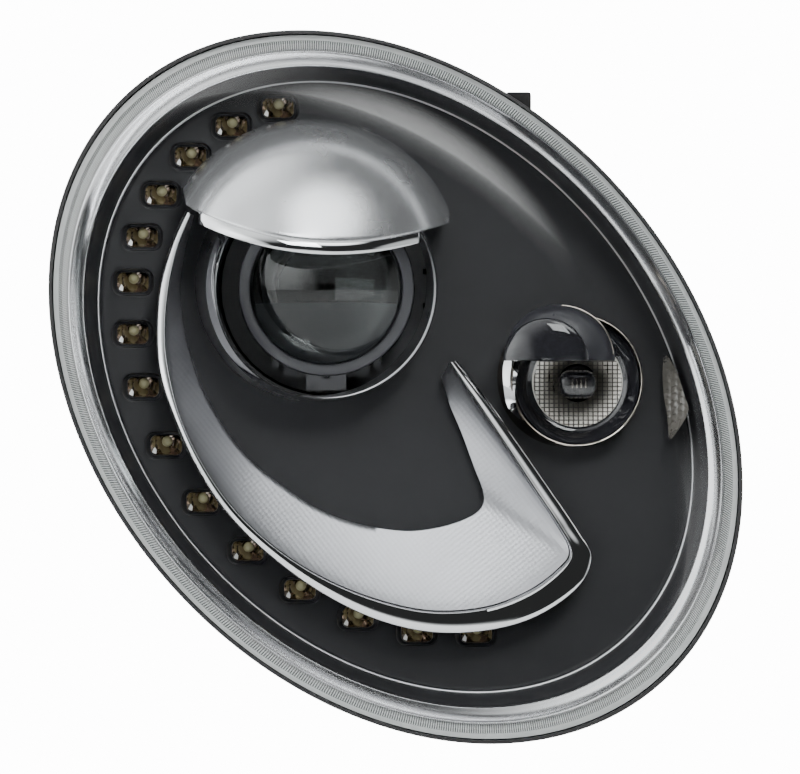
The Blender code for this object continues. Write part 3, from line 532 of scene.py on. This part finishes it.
def makeLeds():
    cups, bowls, chips, highlightPatches = [], [], [], []
    width, height, corner = led["pocket"]
    innerW, innerH, innerR = led["window"]
    for x, z in ledPlaces():
        def at(depth):
            return lambda px, pz: rimY(px, pz) + depth
        rings = [roundedLoop(x, z, width + 0.8, height + 0.8, corner, at(33.6)),
                 roundedLoop(x, z, width - 0.6, height - 0.6, corner - 0.3, at(33.7)),
                 roundedLoop(x, z, width - 1.2, height - 1.2, corner - 0.6, at(34.4)),
                 roundedLoop(x, z, innerW + 2.2, innerH + 2.2, innerR + 1, at(36.6)),
                 roundedLoop(x, z, innerW + 0.8, innerH + 0.8, innerR + 0.4, at(37.0)),
                 roundedLoop(x, z, innerW, innerH, innerR, at(37.6)),
                 roundedLoop(x, z, innerW, innerH, innerR, at(38.6)),
                 roundedLoop(x, z, width + 0.8, height + 0.8, corner, at(36.2))]
        cups.append(skinOf(rings, True))
        cx, cz = x + 0.4, z + 1.7
        rings = [roundedLoop(x, z, innerW - 0.2, innerH - 0.2, innerR, at(37.7), 3),
                 roundedLoop((x + cx) / 2, (z + cz) / 2, innerW * 0.72, innerH * 0.74, innerR * 0.7, at(40.2), 3),
                 roundedLoop(cx, cz, innerW * 0.42, innerH * 0.55, innerR * 0.5, at(42.0), 3),
                 roundedLoop(cx, cz, 3.2, 3.0, 1.2, at(42.6), 3),
                 [(cx, rimY(cx, cz) + 42.8, cz)]]
        bowls.append(skinOf(rings, False))
        radius = led["chip"]
        rings = [[(cx, rimY(cx, cz) + 39.4, cz)]]
        for k in range(1, 6):
            side, front = radius * math.sin(math.radians(18 * k)), radius * 0.9 * math.cos(math.radians(18 * k))
            rings.append(circleLoop((cx, cz), side, rimY(cx, cz) + 41.4 - front, 20))
        chips.append(skinOf(rings, False))
        # Painted highlight: a small white patch at the lower left of each window stands in for the glint on a prism
        # facet.
        fx, fz = x - innerW / 2 + 1.7, z - innerH / 2 + 1.8
        corners = [(fx - 1.1, fz - 0.6), (fx + 0.9, fz - 1.2), (fx + 1.1, fz + 0.5), (fx + 0.3, fz + 1.9)]
        front = [(px, rimY(px, pz) + 38.0, pz) for px, pz in corners]
        back = [(px, rimY(px, pz) + 39.2, pz) for px, pz in corners]
        highlightPatches.append((front + back, [(0, 1, 2, 3), (7, 6, 5, 4), (0, 4, 5, 1), (1, 5, 6, 2), (2, 6, 7, 3),
                                      (3, 7, 4, 0)]))
    joined("led_pockets", cups, "bezel")
    joined("led_reflectors", bowls, "ledBowl", sharp=5)
    joined("led_emitters", chips, "chip", replaces=["led_strip"])
    joined("led_prism_highlights", highlightPatches, "prismHighlight", sharp=5)
    front, back = [], []
    for i in range(101):
        angle = math.radians(150 + 187 * i / 100)
        row = [ovalXz(led["long"] + side, led["short"] + side, angle, led["centre"]) for side in (-6, 0, 6)]
        front.append([(x, rimY(x, z) + 43.4, z) for x, z in row])
        back.append([(x, rimY(x, z) + 45.0, z) for x, z in row])
    slabPiece("led_board", front, back, "board")


# Stations of the crescent, x and z, from its top round to its right end: edge of the frame, then the trim's
# outer and inner edges.
crescent = {
    "frame": [(-95, 79), (-101.5, 64), (-106.5, 45), (-108, 25), (-106.5, 6), (-100.5, -14), (-90.5, -36),
              (-76.5, -57), (-58.5, -75), (-36, -91.5), (-10, -104.5), (16, -110.7), (42, -109.8), (64, -103.3),
              (82, -90.5), (88, -77), (81.5, -64.5), (69, -46), (54.5, -25), (41, -6), (27.5, 11.5)],
    "outer": [(-92.5, 77.5), (-98.5, 62.5), (-102.5, 44), (-104, 25), (-102.5, 8), (-97, -14), (-87, -35),
              (-73, -55), (-55, -72), (-34, -85.5), (-10, -95.5), (15, -101), (40, -99.5), (60, -92),
              (74, -81.5), (78, -74), (72, -62), (60, -44), (47, -24), (35, -6), (24, 10.5)],
    "inner": [(-91.3, 77), (-95.5, 60), (-97.5, 44), (-95.5, 25), (-92, 12), (-87, -2), (-78, -18), (-66, -33),
              (-52, -44.5), (-36, -55), (-18, -62), (3, -65.3), (18, -64), (30, -60.5), (37, -56.5),
              (39.5, -52), (38.8, -46), (35, -36), (29.5, -21), (24, -8), (20.5, 4)],
    "steps": 260}


# The satin trim is dished toward its inner edge, and the chrome frame slopes up to it.
def makeCrescent():
    edge, outer, inner = (smooth(crescent[k], crescent["steps"]) for k in ("frame", "outer", "inner"))

    def mix(p, q, u, depth):
        x, z = p[0] + (q[0] - p[0]) * u, p[1] + (q[1] - p[1]) * u
        return x, rimY(x, z) + depth, z

    front, back = [], []
    for o, i in zip(outer, inner):
        front.append([mix(o, i, u, 16 + 14 * u ** 0.8) for u in [0.01 + 0.99 * k / 14 for k in range(15)]]
                     + [mix(o, i, 1.005, 31.5)])
        back.append([mix(o, i, u, 17.6 + 14 * u ** 0.8) for u in [0.01 + 0.98 * k / 14 for k in range(15)]]
                    + [mix(o, i, 0.98, 32.5)])
    slabPiece("leaf_trim_satin", front, back, "satin", replaces=["leaf_trim"], sharp=50)
    front, back = [], []
    for f, o in zip(edge, outer):
        front.append([mix(f, o, 0, 26), mix(f, o, -0.01, 20), mix(f, o, -0.01, 17.4), mix(f, o, 0.01, 16.3)]
                     + [mix(f, o, 0.04 + 0.85 * k / 6, 16.0 - 2.0 * k / 6 - 0.4 * math.sin(math.pi * k / 6))
                        for k in range(7)] + [mix(f, o, 0.92, 13.5), mix(f, o, 0.96, 14.2), mix(f, o, 1.02, 17.0)])
        back.append([mix(f, o, 0.15, 26.5), mix(f, o, 0.15, 23), mix(f, o, 0.15, 21), mix(f, o, 0.17, 19.5)]
                    + [mix(f, o, 0.22 + 0.5 * k / 6, 18.6 - 2.2 * k / 6) for k in range(7)]
                    + [mix(f, o, 0.76, 16.6), mix(f, o, 0.82, 17.4), mix(f, o, 0.9, 18.6)])
    slabPiece("leaf_frame_chrome", front, back, "chrome", replaces=["leaf_frame"], sharp=60)


# Dome from the front: centre, radius, arc in degrees. Long arcs: centre x and z, radius.
eyelid = {"centre": (-38.7, 52.3), "radius": 68.6, "arc": (147, 24), "rise": 62.0, "steps": 120, "rows": 48,
          "left": -94.5, "width": 118.5, "edge": (-27.2, 204.5, 140.4),
          "lipLeft": -89, "lipWidth": 100, "lipEdge": (-28, 199.1, 139.9), "lipRise": 60.5, "lipRadius": 70}


def lidFoot(x, z):
    return bezelY(x, z) - 0.6


def arcPoints(centre, radius, start, end, steps):
    return [(centre[0] + radius * math.cos(math.radians(start + (end - start) * i / steps)),
             centre[1] + radius * math.sin(math.radians(start + (end - start) * i / steps)))
            for i in range(steps + 1)]


# Rows of a half dome between its top arc and its lower edge, standing on foot(x, z).
def domeGrid(top, bottom, centre, radius, foot, rise, rows, shrink=1.0, tuck=0.0):
    grid = []
    for i in range(rows + 1):
        u = i / rows
        row = []
        for (tx, tz), (bx, bz) in zip(top, bottom):
            x, z = tx + (bx - tx) * u, tz + (bz - tz) * u
            far = min(1.0, math.hypot(x - centre[0], z - centre[1]) / radius)
            x, z = centre[0] + (x - centre[0]) * shrink, centre[1] + (z - centre[1]) * shrink
            row.append((x, foot(x, z) - rise * math.sqrt(1 - far * far) + tuck * max(0, u - 0.97) / 0.03, z))
        grid.append(row)
    return grid


# z of a long arc's low side at x.
def lowerEdge(arc, x):
    middle, z, radius = arc
    return z - math.sqrt(radius ** 2 - (x - middle) ** 2)


def makeEyelid():
    n = eyelid["steps"]
    top = arcPoints(eyelid["centre"], eyelid["radius"], *eyelid["arc"], n)
    across = [eyelid["left"] + eyelid["width"] * i / n for i in range(n + 1)]
    bottom = [(x, min(lowerEdge(eyelid["edge"], x), t[1] - 0.5)) for x, t in zip(across, top)]
    args = (top, bottom, eyelid["centre"], eyelid["radius"], lidFoot)
    slabPiece("eyelid_satin", domeGrid(*args, eyelid["rise"], eyelid["rows"], tuck=1.2),
              domeGrid(*args, eyelid["rise"] - 2.5, eyelid["rows"], 0.972), "dome", replaces=["eyelid"], sharp=50)
    front, back = [], []
    for i in range(81):
        x = eyelid["lipLeft"] + eyelid["lipWidth"] * i / 80
        low = lowerEdge(eyelid["lipEdge"], x)
        high = lowerEdge(eyelid["edge"], x) + 0.2
        row = []
        for k in range(7):
            u = k / 6
            z = high + (low - high) * u
            far = min(0.999, math.hypot(x - eyelid["centre"][0], z - eyelid["centre"][1]) / eyelid["lipRadius"])
            y = lidFoot(x, z) - eyelid["lipRise"] * math.sqrt(1 - far * far)
            row.append((x, y - 1.2 * (1 - u) + 0.5 * (2 * u - 1) ** 2, z))
        front.append(row)
        back.append([(px, py + 1.8, pz) for px, py, pz in row])
    slabPiece("eyelid_lip_chrome", front, back, "chrome", replaces=["eyelid_lip"], sharp=60)


# Ring and its side: radius, height over the bezel, x and z shift. Collar: radius and y.
lamp = {
    "ring": [(49.5, 23.6, 0, 0), (49.6, 24.6, 0, 0), (49.9, 25, 0, 0), (50.3, 24.9, -0.1, 0),
             (52.0, 20.9, -1.6, 0.6), (52.2, 20.3, -1.7, 0.7), (50.4, 19.6, -1.2, 0.5)],
    "ringSide": [(52.1, 20.0, -1.7, 0.7), (52.7, 12, -3.3, 1.5), (53.2, 4, -4.9, 2.2), (53.4, 0.4, -5.6, 2.5),
                 (51.0, 0.4, -5.5, 2.5), (50.2, 12, -3, 1.3), (49.9, 19.4, -1.2, 0.5)],
    "collar": [(34.3, -148.6), (34.6, -149.8), (35.2, -150.0), (37.5, -149.4), (39.0, -148.8), (39.6, -147.8),
               (39.6, -130), (37.8, -130), (37.8, -141.8), (36.4, -142.4), (36.4, -147.3)],
    "lensFront": -166, "lensRadius": 34.0, "lensCurve": 47.5,
    "lensRim": [(34.6, -146.6), (35.0, -146.0), (35.0, -143.0), (0, -143)]}


def makeProjector():
    leaningPiece("projector_ring_chrome", projector, lamp["ring"], "chrome", replaces=["projector_ring"], sharp=25)
    leaningPiece("projector_ring_side", projector, lamp["ringSide"], "ringWall", sharp=50)
    turnedPiece("shroud_collar", lamp["collar"], projector, "collar", 128, body="projector", replaces=["shroud"])
    front, curve = lamp["lensFront"], lamp["lensCurve"]
    lens = [(0, front)]
    for k in range(1, 25):
        radius = lamp["lensRadius"] * k / 24
        lens.append((radius, front + curve - math.sqrt(curve ** 2 - radius ** 2)))
    lens = [(r, y) for r, y in lens if y < -147.2] + lamp["lensRim"]
    turnedPiece("projector_lens_glass", lens, projector, "glass", 128, body="projector",
                replaces=["projector_lens"], sharp=40)
    turnedPiece("projector_aperture", [(25.6, -134), (26.2, -134.6), (30, -136), (35.6, -136.5), (35.6, -134),
                                       (30, -133), (26, -132.6)], projector, "collar", 96, body="projector")


# Funnel and ring: radius, height over the bezel, x and z shift, and y where it is fixed.
turn = {
    "bowl": 20.0, "throat": 8.6, "cellX": 2.2, "cellZ": 1.9, "pillow": 0.5,
    "funnelCentre": (81.8, 2.0),
    "funnel": [(20.5, 0, 0, 0, -114.6), (21.2, 0, 0, 0, -115.2), (22.6, 0, 0, 0, -115.6), (23.0, 0, 0, 0, -116.4),
               (25.2, 6.5, 0, 0), (27.4, 10.6, 0, 0), (28.0, 11.5, 0, 0), (26.9, 9.3, 0, 0),
               (21.8, 0, 0, 0, -113.8)],
    "ringCentre": (81.6, 2.6),
    "ring": [(28.9, 11.5, 0, 0), (29.1, 11.95, 0, 0), (29.5, 12, 0, 0), (29.9, 11.6, 0, 0),
             (30.4, 6, -2.4, 0.6), (31.0, 0.4, -5, 1), (29.6, 0.4, -4.6, 1)],
    # The ring's bright side at its left: left and right edges, x and z.
    "sideLeft": [(50.4, 15.9), (48.2, 8.7), (48.5, -0.9), (50.1, -8.9), (54.1, -13.7), (56.3, -15.6)],
    "sideRight": [(57.3, 14.8), (55.2, 8.7), (53.8, 0.7), (53.6, -5.7), (55.2, -12.1), (56.7, -15.8)],
    "lidCentre": (73.7, 11.8), "lidRadius": 25.2, "innerCentre": (67.6, 11.3), "innerRadius": 19.4,
    # Radius of the bright bar that stands in for the highlight on the hood's edge.
    "highlightRadius": 24.6,
    # Cap over the bulb, from its front: width, height, corner and y.
    "cap": [(12, 7.5, 3.0, -110.3), (15.4, 11, 4.2, -109.8), (16.6, 12.2, 4.6, -108.9), (17.0, 12.6, 4.8, -107.6),
            (17.0, 12.6, 4.8, -104), (15.4, 11, 4.0, -104), (14.8, 10.4, 3.8, -107.4)],
    "bulb": [(0, -99.3), (1.6, -99.0), (3.4, -97.6), (4.4, -95), (4.6, -92), (4.6, -86), (4.2, -83),
             (3.2, -80.4), (3.2, -76.4), (0, -76.4)]}


def makeTurnLamp():
    x0, z0 = turnLamp
    rings = []
    steps, count = 120, 480
    for k in range(steps + 1):
        radius = turn["bowl"] - (turn["bowl"] - turn["throat"]) * k / steps
        depth = -113 + 33.5 * ((turn["bowl"] - radius) / (turn["bowl"] - turn["throat"])) ** 1.9
        ring = []
        for i in range(count):
            a = 2 * math.pi * i / count
            px, pz = radius * math.cos(a), radius * math.sin(a)
            cell = math.cos(2 * math.pi * px / turn["cellX"]) * 0.5 + 0.5
            step = (pz / turn["cellZ"]) % 1.0
            fade = min(1.0, k / 3)
            ring.append((x0 + px, depth + fade * (turn["pillow"] * (1 - cell) + 0.5 * step), z0 + pz))
        rings.append(ring)
    for radius, y in ((turn["throat"], -78.6), (21.4, -111), (21.4, -113.4), (20.4, -113.4)):
        rings.append(circleLoop(turnLamp, radius, y, count))
    bowl = piece("turn_reflector_flutes", *skinOf(rings, True), "flutes", replaces=["turn_reflector"], sharp=30)
    bowl.data.materials.append(finishes["fluteGap"])
    for face in bowl.data.polygons[:steps * count]:
        fx, fz = (face.center.x * 1000 - x0) / turn["cellX"], (face.center.z * 1000 - z0) / turn["cellZ"]
        face.material_index = 1 if fx % 1 < 0.28 or fz % 1 < 0.25 else 0
    leaningPiece("turn_funnel_black", turn["funnelCentre"], turn["funnel"], "piano", replaces=["turn_funnel"],
                 sharp=40)
    leaningPiece("turn_ring_chrome", turn["ringCentre"], turn["ring"], "chromeDim", replaces=["turn_ring"],
                 sharp=50)
    left, right = smooth(turn["sideLeft"], 40), smooth(turn["sideRight"], 40)
    front, back = [], []
    for (ax, az), (bx, bz) in zip(left, right):
        row = [(ax + (bx - ax) * k / 6, az + (bz - az) * k / 6, k / 6) for k in range(7)]
        front.append([(x, bezelY(x, z) - 8.5 - 4.5 * u, z) for x, z, u in row])
        back.append([(x, bezelY(x, z) - 6.5 - 4.5 * u, z) for x, z, u in row])
    slabPiece("turn_ring_side", front, back, "chrome")
    centre, radius = turn["lidCentre"], turn["lidRadius"]
    top = arcPoints(centre, radius, 178, 2, 72)
    bottom = [(48.9 + 49.6 * i / 72, 11.4) for i in range(73)]
    args = (top, bottom, centre, radius)
    slabPiece("turn_eyelid_gloss",
              domeGrid(*args, lambda px, pz: bezelY(px, pz) - 14, 15, 28, tuck=0.8),
              domeGrid(*args, lambda px, pz: bezelY(px, pz) - 12.6, 14, 28, 0.94), "pod", replaces=["turn_eyelid"],
              sharp=50)
    # The glossy inner lid bulges out of the hood, toward its left.
    inner, small = turn["innerCentre"], turn["innerRadius"]
    top = arcPoints(inner, small, 176, 4, 72)
    bottom = [(top[0][0] + (top[-1][0] - top[0][0]) * i / 72, 11.3) for i in range(73)]
    slabPiece("turn_eyelid_inner",
              domeGrid(top, bottom, inner, small, lambda px, pz: bezelY(*inner) - 26.0, 5.0, 28, tuck=0.8),
              domeGrid(top, bottom, inner, small, lambda px, pz: bezelY(px, pz) - 14, 6.0, 28, 0.98), "piano",
              sharp=50)
    # Painted highlight: a thin bright bar along the hood's upper right stands in for the light caught by its edge,
    # a round bar with its ends closed at their middles.
    rings = []
    for px, pz in arcPoints(centre, turn["highlightRadius"], 88, 6, 60):
        rings.append([(px + 0.35 * math.cos(a), bezelY(px, pz) - 17.0 + 0.5 * math.sin(a), pz + 0.35 * math.cos(a))
                      for a in [2 * math.pi * i / 10 for i in range(10)]])
    first, last = ([tuple(sum(c) / 10 for c in zip(*ring))] for ring in (rings[0], rings[-1]))
    rings = [first] + rings + [last]
    piece("turn_hood_highlight_bar", *skinOf(rings, False), "chromeDim")
    # Cap over the bulb, with its small bars.
    rings = [[(x0, -110.4, z0 - 0.7)]]
    for width, height, corner, y in turn["cap"]:
        rings.append(roundedLoop(x0, z0 - 0.7, width, height, corner, y))
    rings.append([(x0, -107.6, z0 - 0.7)])
    piece("turn_bulb_cap", *skinOf(rings, False), "piano", replaces=["turn_bulb_shield"], sharp=40)
    bars = []
    for k in range(4):
        cx = x0 - 2.4 + 2.0 * k
        loop = roundedLoop(cx, z0 - 0.2, 0.7, 4.4, 0.3, -110.8, 2)
        back = roundedLoop(cx, z0 - 0.2, 0.9, 4.6, 0.3, -110.0, 2)
        bars.append(skinOf([[(cx, -110.85, z0 - 0.2)], loop, back, [(cx, -110.0, z0 - 0.2)]], False))
    joined("turn_bulb_cap_bars", bars, "chromeDim")
    turnedPiece("turn_bulb_amber", turn["bulb"], turnLamp, "amber", 48, body="turn_holder",
                replaces=["turn_bulb"])


# Edges, x and z, and its scales: width, height and how far they stand out.
sideMarker = {"left": [(120.8, 13), (120.3, 5), (121, -5), (122.4, -14), (123, -23)],
              "right": [(122.3, 14), (126.5, 7), (129.8, -3), (131.6, -12), (124.4, -24)],
              "start": 118, "scaleX": 3.0, "scaleZ": 3.2, "rise": 0.7}


def makeSideReflector():
    left, right = smooth(sideMarker["left"], 70), smooth(sideMarker["right"], 70)
    front, back = [], []
    for (ax, az), (bx, bz) in zip(left, right):
        rowFront, rowBack = [], []
        for k in range(25):
            u = k / 24
            x, z = ax + (bx - ax) * u, az + (bz - az) * u
            y = bezelY(x, z) - 6 - 10 * u
            column = (x - sideMarker["start"]) / sideMarker["scaleX"]
            scale = (z / sideMarker["scaleZ"] + 0.5 * math.floor(column)) % 1.0
            rowFront.append((x, y - sideMarker["rise"] * math.sin(math.pi * (column % 1.0)) * (1 - scale), z))
            rowBack.append((x, y + 2, z))
        front.append(rowFront)
        back.append(rowBack)
    slabPiece("side_reflector_scales", front, back, "scales", replaces=["side_reflector"], sharp=25)


housing = {
    # Lugs: centre, width, height, front and rear y, then the hole's centre, radius and start.
    "lugs": [(55.25, 126, 11.5, 14, -96, -76, 55.2, 127.3, 3.8, -91.5),
             (-130.5, 12, 33, 18, -36, -29, -138, 12, 5, -40),
             (68, -129, 18, 34, -36, -29, 68, -137, 5, -40)],
    # Round holes in the rear wall: centre and radius.
    "holes": [(projector, 31), (turnLamp, 13), ((lampX, lampZ - 72.1), 12), ((-5.6, -40), 4),
              ((lampX + 46, lampZ), 4), ((-95, 20), 4), ((-12, -84), 4)],
    # Section: share of the oval, depth behind the rim plane, share of the flat rear in its y, and the rear's y.
    "section": [
        (0, 0, 1, 0), (0.74, 0, 1, 0), (0.752, 0, 0.995), (0.762, 0, 0.98), (0.768, 0, 0.96), (0.80, 4, 0.85),
        (0.85, 6, 0.65), (0.90, 8, 0.45), (0.935, 11, 0.27), (0.962, 14, 0.1), (0.972, 15, 0.04), (0.985, 14),
        (0.996, 10), (0.9995, 7), (1.0, 4), (1.0, -2.4), (0.9985, -3), (0.9905, -3), (0.989, -2.4), (0.989, 12),
        (0.958, 12), (0.955, 22, 0.06), (0.935, 20, 0.2), (0.875, 9, 0.5), (0.775, 4, 0.87, -3),
        (0.74, 0, 0.97, -3), (0.71, 0, 1, -3), (0, 0, 1, -3)],
    "wall": (-8, 5), "inlet": (-75, -21, 26, 14, 1), "pinPosts": 68.25, "ballastSeat": (45, -60, 78, 52, 3)}


def makeHousing():
    shell = ovalPiece("housing_shell", housing["section"], "housing", closed=False, replaces=["housing"])
    front, rear = housing["wall"]
    cuts = [prism(circleLoop(at, radius, 0, 96 if radius > 20 else 64), front, rear)
            for at, radius in housing["holes"]]
    cuts.append(prism(roundedLoop(*housing["inlet"], 0), front, rear))
    bosses = [prism(roundedLoop(lampX + side * housing["pinPosts"], lampZ, 7.5, 12, 1, 0), -95, -2)
              for side in (-1, 1)]
    bosses.append(prism(roundedLoop(*housing["ballastSeat"], 0), -1, 2))
    for cx, cz, width, height, front, rear, hx, hz, radius, start in housing["lugs"]:
        bosses.append(prism(roundedLoop(cx, cz, width, height, 1.5, 0), front, rear))
        cuts.append(prism(circleLoop((hx, hz), radius, 0), start, rear + 6))
    carve(shell, bosses, "UNION")
    carve(shell, cuts)


makeCover()
makeChromeRing()
makeBezel()
print("cover and bezel made")
makeLeds()
makeCrescent()
makeEyelid()
makeProjector()
print("front lamps made")
makeTurnLamp()
makeSideReflector()
makeHousing()
print("housing made")

# Finish of each carried-over node, by its material slot.
carriedFinish = {
    "housing_black": "housing", "seal_rubber": "rubber", "lamp_chrome": "chrome", "optic_glass": "glass",
    "collar_grey": "collar", "zinc_steel": "steel", "cast_alloy": "cast", "nylon_white": "nylon",
    "board_white": "board", "bulb_amber": "amber", "piano_black": "piano", "bezel_black": "bezel",
    "satin_silver": "dome", "cover_clear": "coverClear"}
slotOf = {entry["node"]: entry["material_slot"] for entry in frame["record"]["subparts"]}
# Finishes that differ from the slot's own.
# Parts deep in the projector's cup: a paler grey painted on as light, against the shade of the cup.
otherFinish = {name: "insidePaleForShade" for name in (
    "lens_holder", "shutter_solenoid", "swivel_frame", "swivel_pin_bottom", "swivel_pin_top", "shutter_flap",
    "reflector_bowl")}
otherFinish.update({"xenon_bulb": "bulbGlass", "solenoid_plunger": "pod", "lug_bush_upper": "housing"})
for name, obj in frame["nodes"].items():
    obj.data.materials.clear()
    obj.data.materials.append(finishes[otherFinish.get(name, carriedFinish[slotOf[name]])])


def areaLight(name, place, target, width, height, power, mirrored):
    light = bpy.data.lights.new(name, "AREA")
    light.shape = "RECTANGLE"
    light.size = width
    light.size_y = height
    light.energy = power
    obj = bpy.data.objects.new(name, light)
    obj.location = place
    obj.rotation_euler = (Vector(target) - Vector(place)).to_track_quat("-Z", "Y").to_euler()
    obj.visible_glossy = mirrored
    bpy.context.scene.collection.objects.link(obj)


studio = {
    "floor": 6.0, "paperWhite": 14.0,
    # Area lights: place, target, width, height, power, and whether bright trim mirrors them.
    "lights": {
        "key_softbox": ((0.55, -1.50, 1.30), (-0.05, -0.2, 0.05), 0.75, 0.7, 12, True),
        "top_softbox": ((-0.3, -0.9, 1.6), (0, -0.12, 0.05), 1.5, 0.8, 4, False),
        "left_softbox": ((-1.7, -0.9, 0.5), (0, -0.1, 0), 0.7, 1.4, 20, False),
        "front_fill": ((-0.7, -2.6, -0.2), (0, -0.1, 0), 1.0, 1.0, 9, False)},
    # Camera: far away for a flat view, with the width of its view in metres at the rim.
    "distance": 14.0, "viewWidth": 0.36, "aim": (0.0017, -0.165, -0.0004),
    # Lobes of room light: direction, cosines where it starts and is full, and strength.
    "lobes": [
        ((0, 0, 1), -1.0, -0.9, 0.03),
        ((-0.62, -0.2, 0.76), 0.45, 0.9, 1.5),
        ((0.44, -0.30, 0.845), 0.925, 0.985, 4.2),
        ((0.38, -0.83, -0.40), 0.87, 0.965, 1.5),
        ((-1, -0.1, 0), 0.38, 0.8, 1.3),
        ((-0.62, -0.78, 0.05), 0.84, 0.95, 1.3),
        ((-0.3, 0.45, 0.84), 0.75, 0.97, 0.9),
        ((1, 0.0, 0.0), 0.92, 0.98, 0.8),
        ((0, 1, -0.25), 0.65, 0.9, 1.0),
        ((-0.35, 0.8, 0.3), 0.6, 0.95, 0.5)]}


def softLobe(tree, direction, wide, tight, strength):
    place = add(tree, "TexCoord").outputs["Generated"]
    cosine = add(tree, "VectorMath", {0: place, 1: Vector(direction).normalized()}, operation="DOT_PRODUCT")
    lobe = add(tree, "MapRange", {"Value": cosine.outputs["Value"], "From Min": wide, "From Max": tight,
                                  "To Min": 0.0, "To Max": strength}, interpolation_type="SMOOTHSTEP")
    return lobe.outputs["Result"]


def makeStage():
    low = cadBox[0][2]
    mesh = bpy.data.meshes.new("studio_floor")
    size = studio["floor"]
    mesh.from_pydata([(-size, -size, low - 0.002), (size, -size, low - 0.002), (size, size, low - 0.002),
                      (-size, size, low - 0.002)], [], [(0, 1, 2, 3)])
    floor = bpy.data.objects.new("studio_floor", mesh)
    material, tree = newMaterial("white paper floor")
    # Lit paper where the camera sees it, and plain grey paper in reflections.
    seen = add(tree, "LightPath").outputs["Is Camera Ray"]
    glow = add(tree, "Emission", {"Color": (1, 1, 1, 1), "Strength": studio["paperWhite"]})
    paper = add(tree, "BsdfPrincipled", {"Base Color": (0.85, 0.85, 0.85, 1), "Roughness": 0.9})
    mix = add(tree, "MixShader", {0: seen, 1: paper.outputs["BSDF"], 2: glow.outputs["Emission"]})
    finishMaterial(tree, mix.outputs["Shader"])
    mesh.materials.append(material)
    bpy.context.scene.collection.objects.link(floor)
    world = bpy.data.worlds.new("studio")
    bpy.context.scene.world = world
    world.use_nodes = True
    tree = world.node_tree
    tree.nodes.clear()
    seen = add(tree, "LightPath").outputs["Is Camera Ray"]
    room = None
    for direction, wide, tight, strength in studio["lobes"]:
        glow = softLobe(tree, direction, wide, tight, strength)
        room = glow if room is None else add(tree, "Math", {0: room, 1: glow}, operation="ADD").outputs["Value"]
    light = add(tree, "Mix", {"Factor": seen, "A": room, "B": studio["paperWhite"]}, data_type="FLOAT")
    back = add(tree, "Background", {"Color": (1, 1, 1, 1), "Strength": light.outputs["Result"]})
    output = add(tree, "OutputWorld")
    tree.links.new(back.outputs["Background"], output.inputs["Surface"])
    for name, settings in studio["lights"].items():
        areaLight(name, *settings)


def makeCamera():
    camera = bpy.data.cameras.new("camera")
    camera.sensor_width = 36
    camera.lens = camera.sensor_width * studio["distance"] / studio["viewWidth"]
    camera.clip_end = 50
    obj = bpy.data.objects.new("camera", camera)
    x, y, z = studio["aim"]
    obj.location = (x, y - studio["distance"], z)
    obj.rotation_euler = (math.radians(90), 0, 0)
    bpy.context.scene.collection.objects.link(obj)
    bpy.context.scene.camera = obj


makeStage()
makeCamera()
print("stage and camera made")
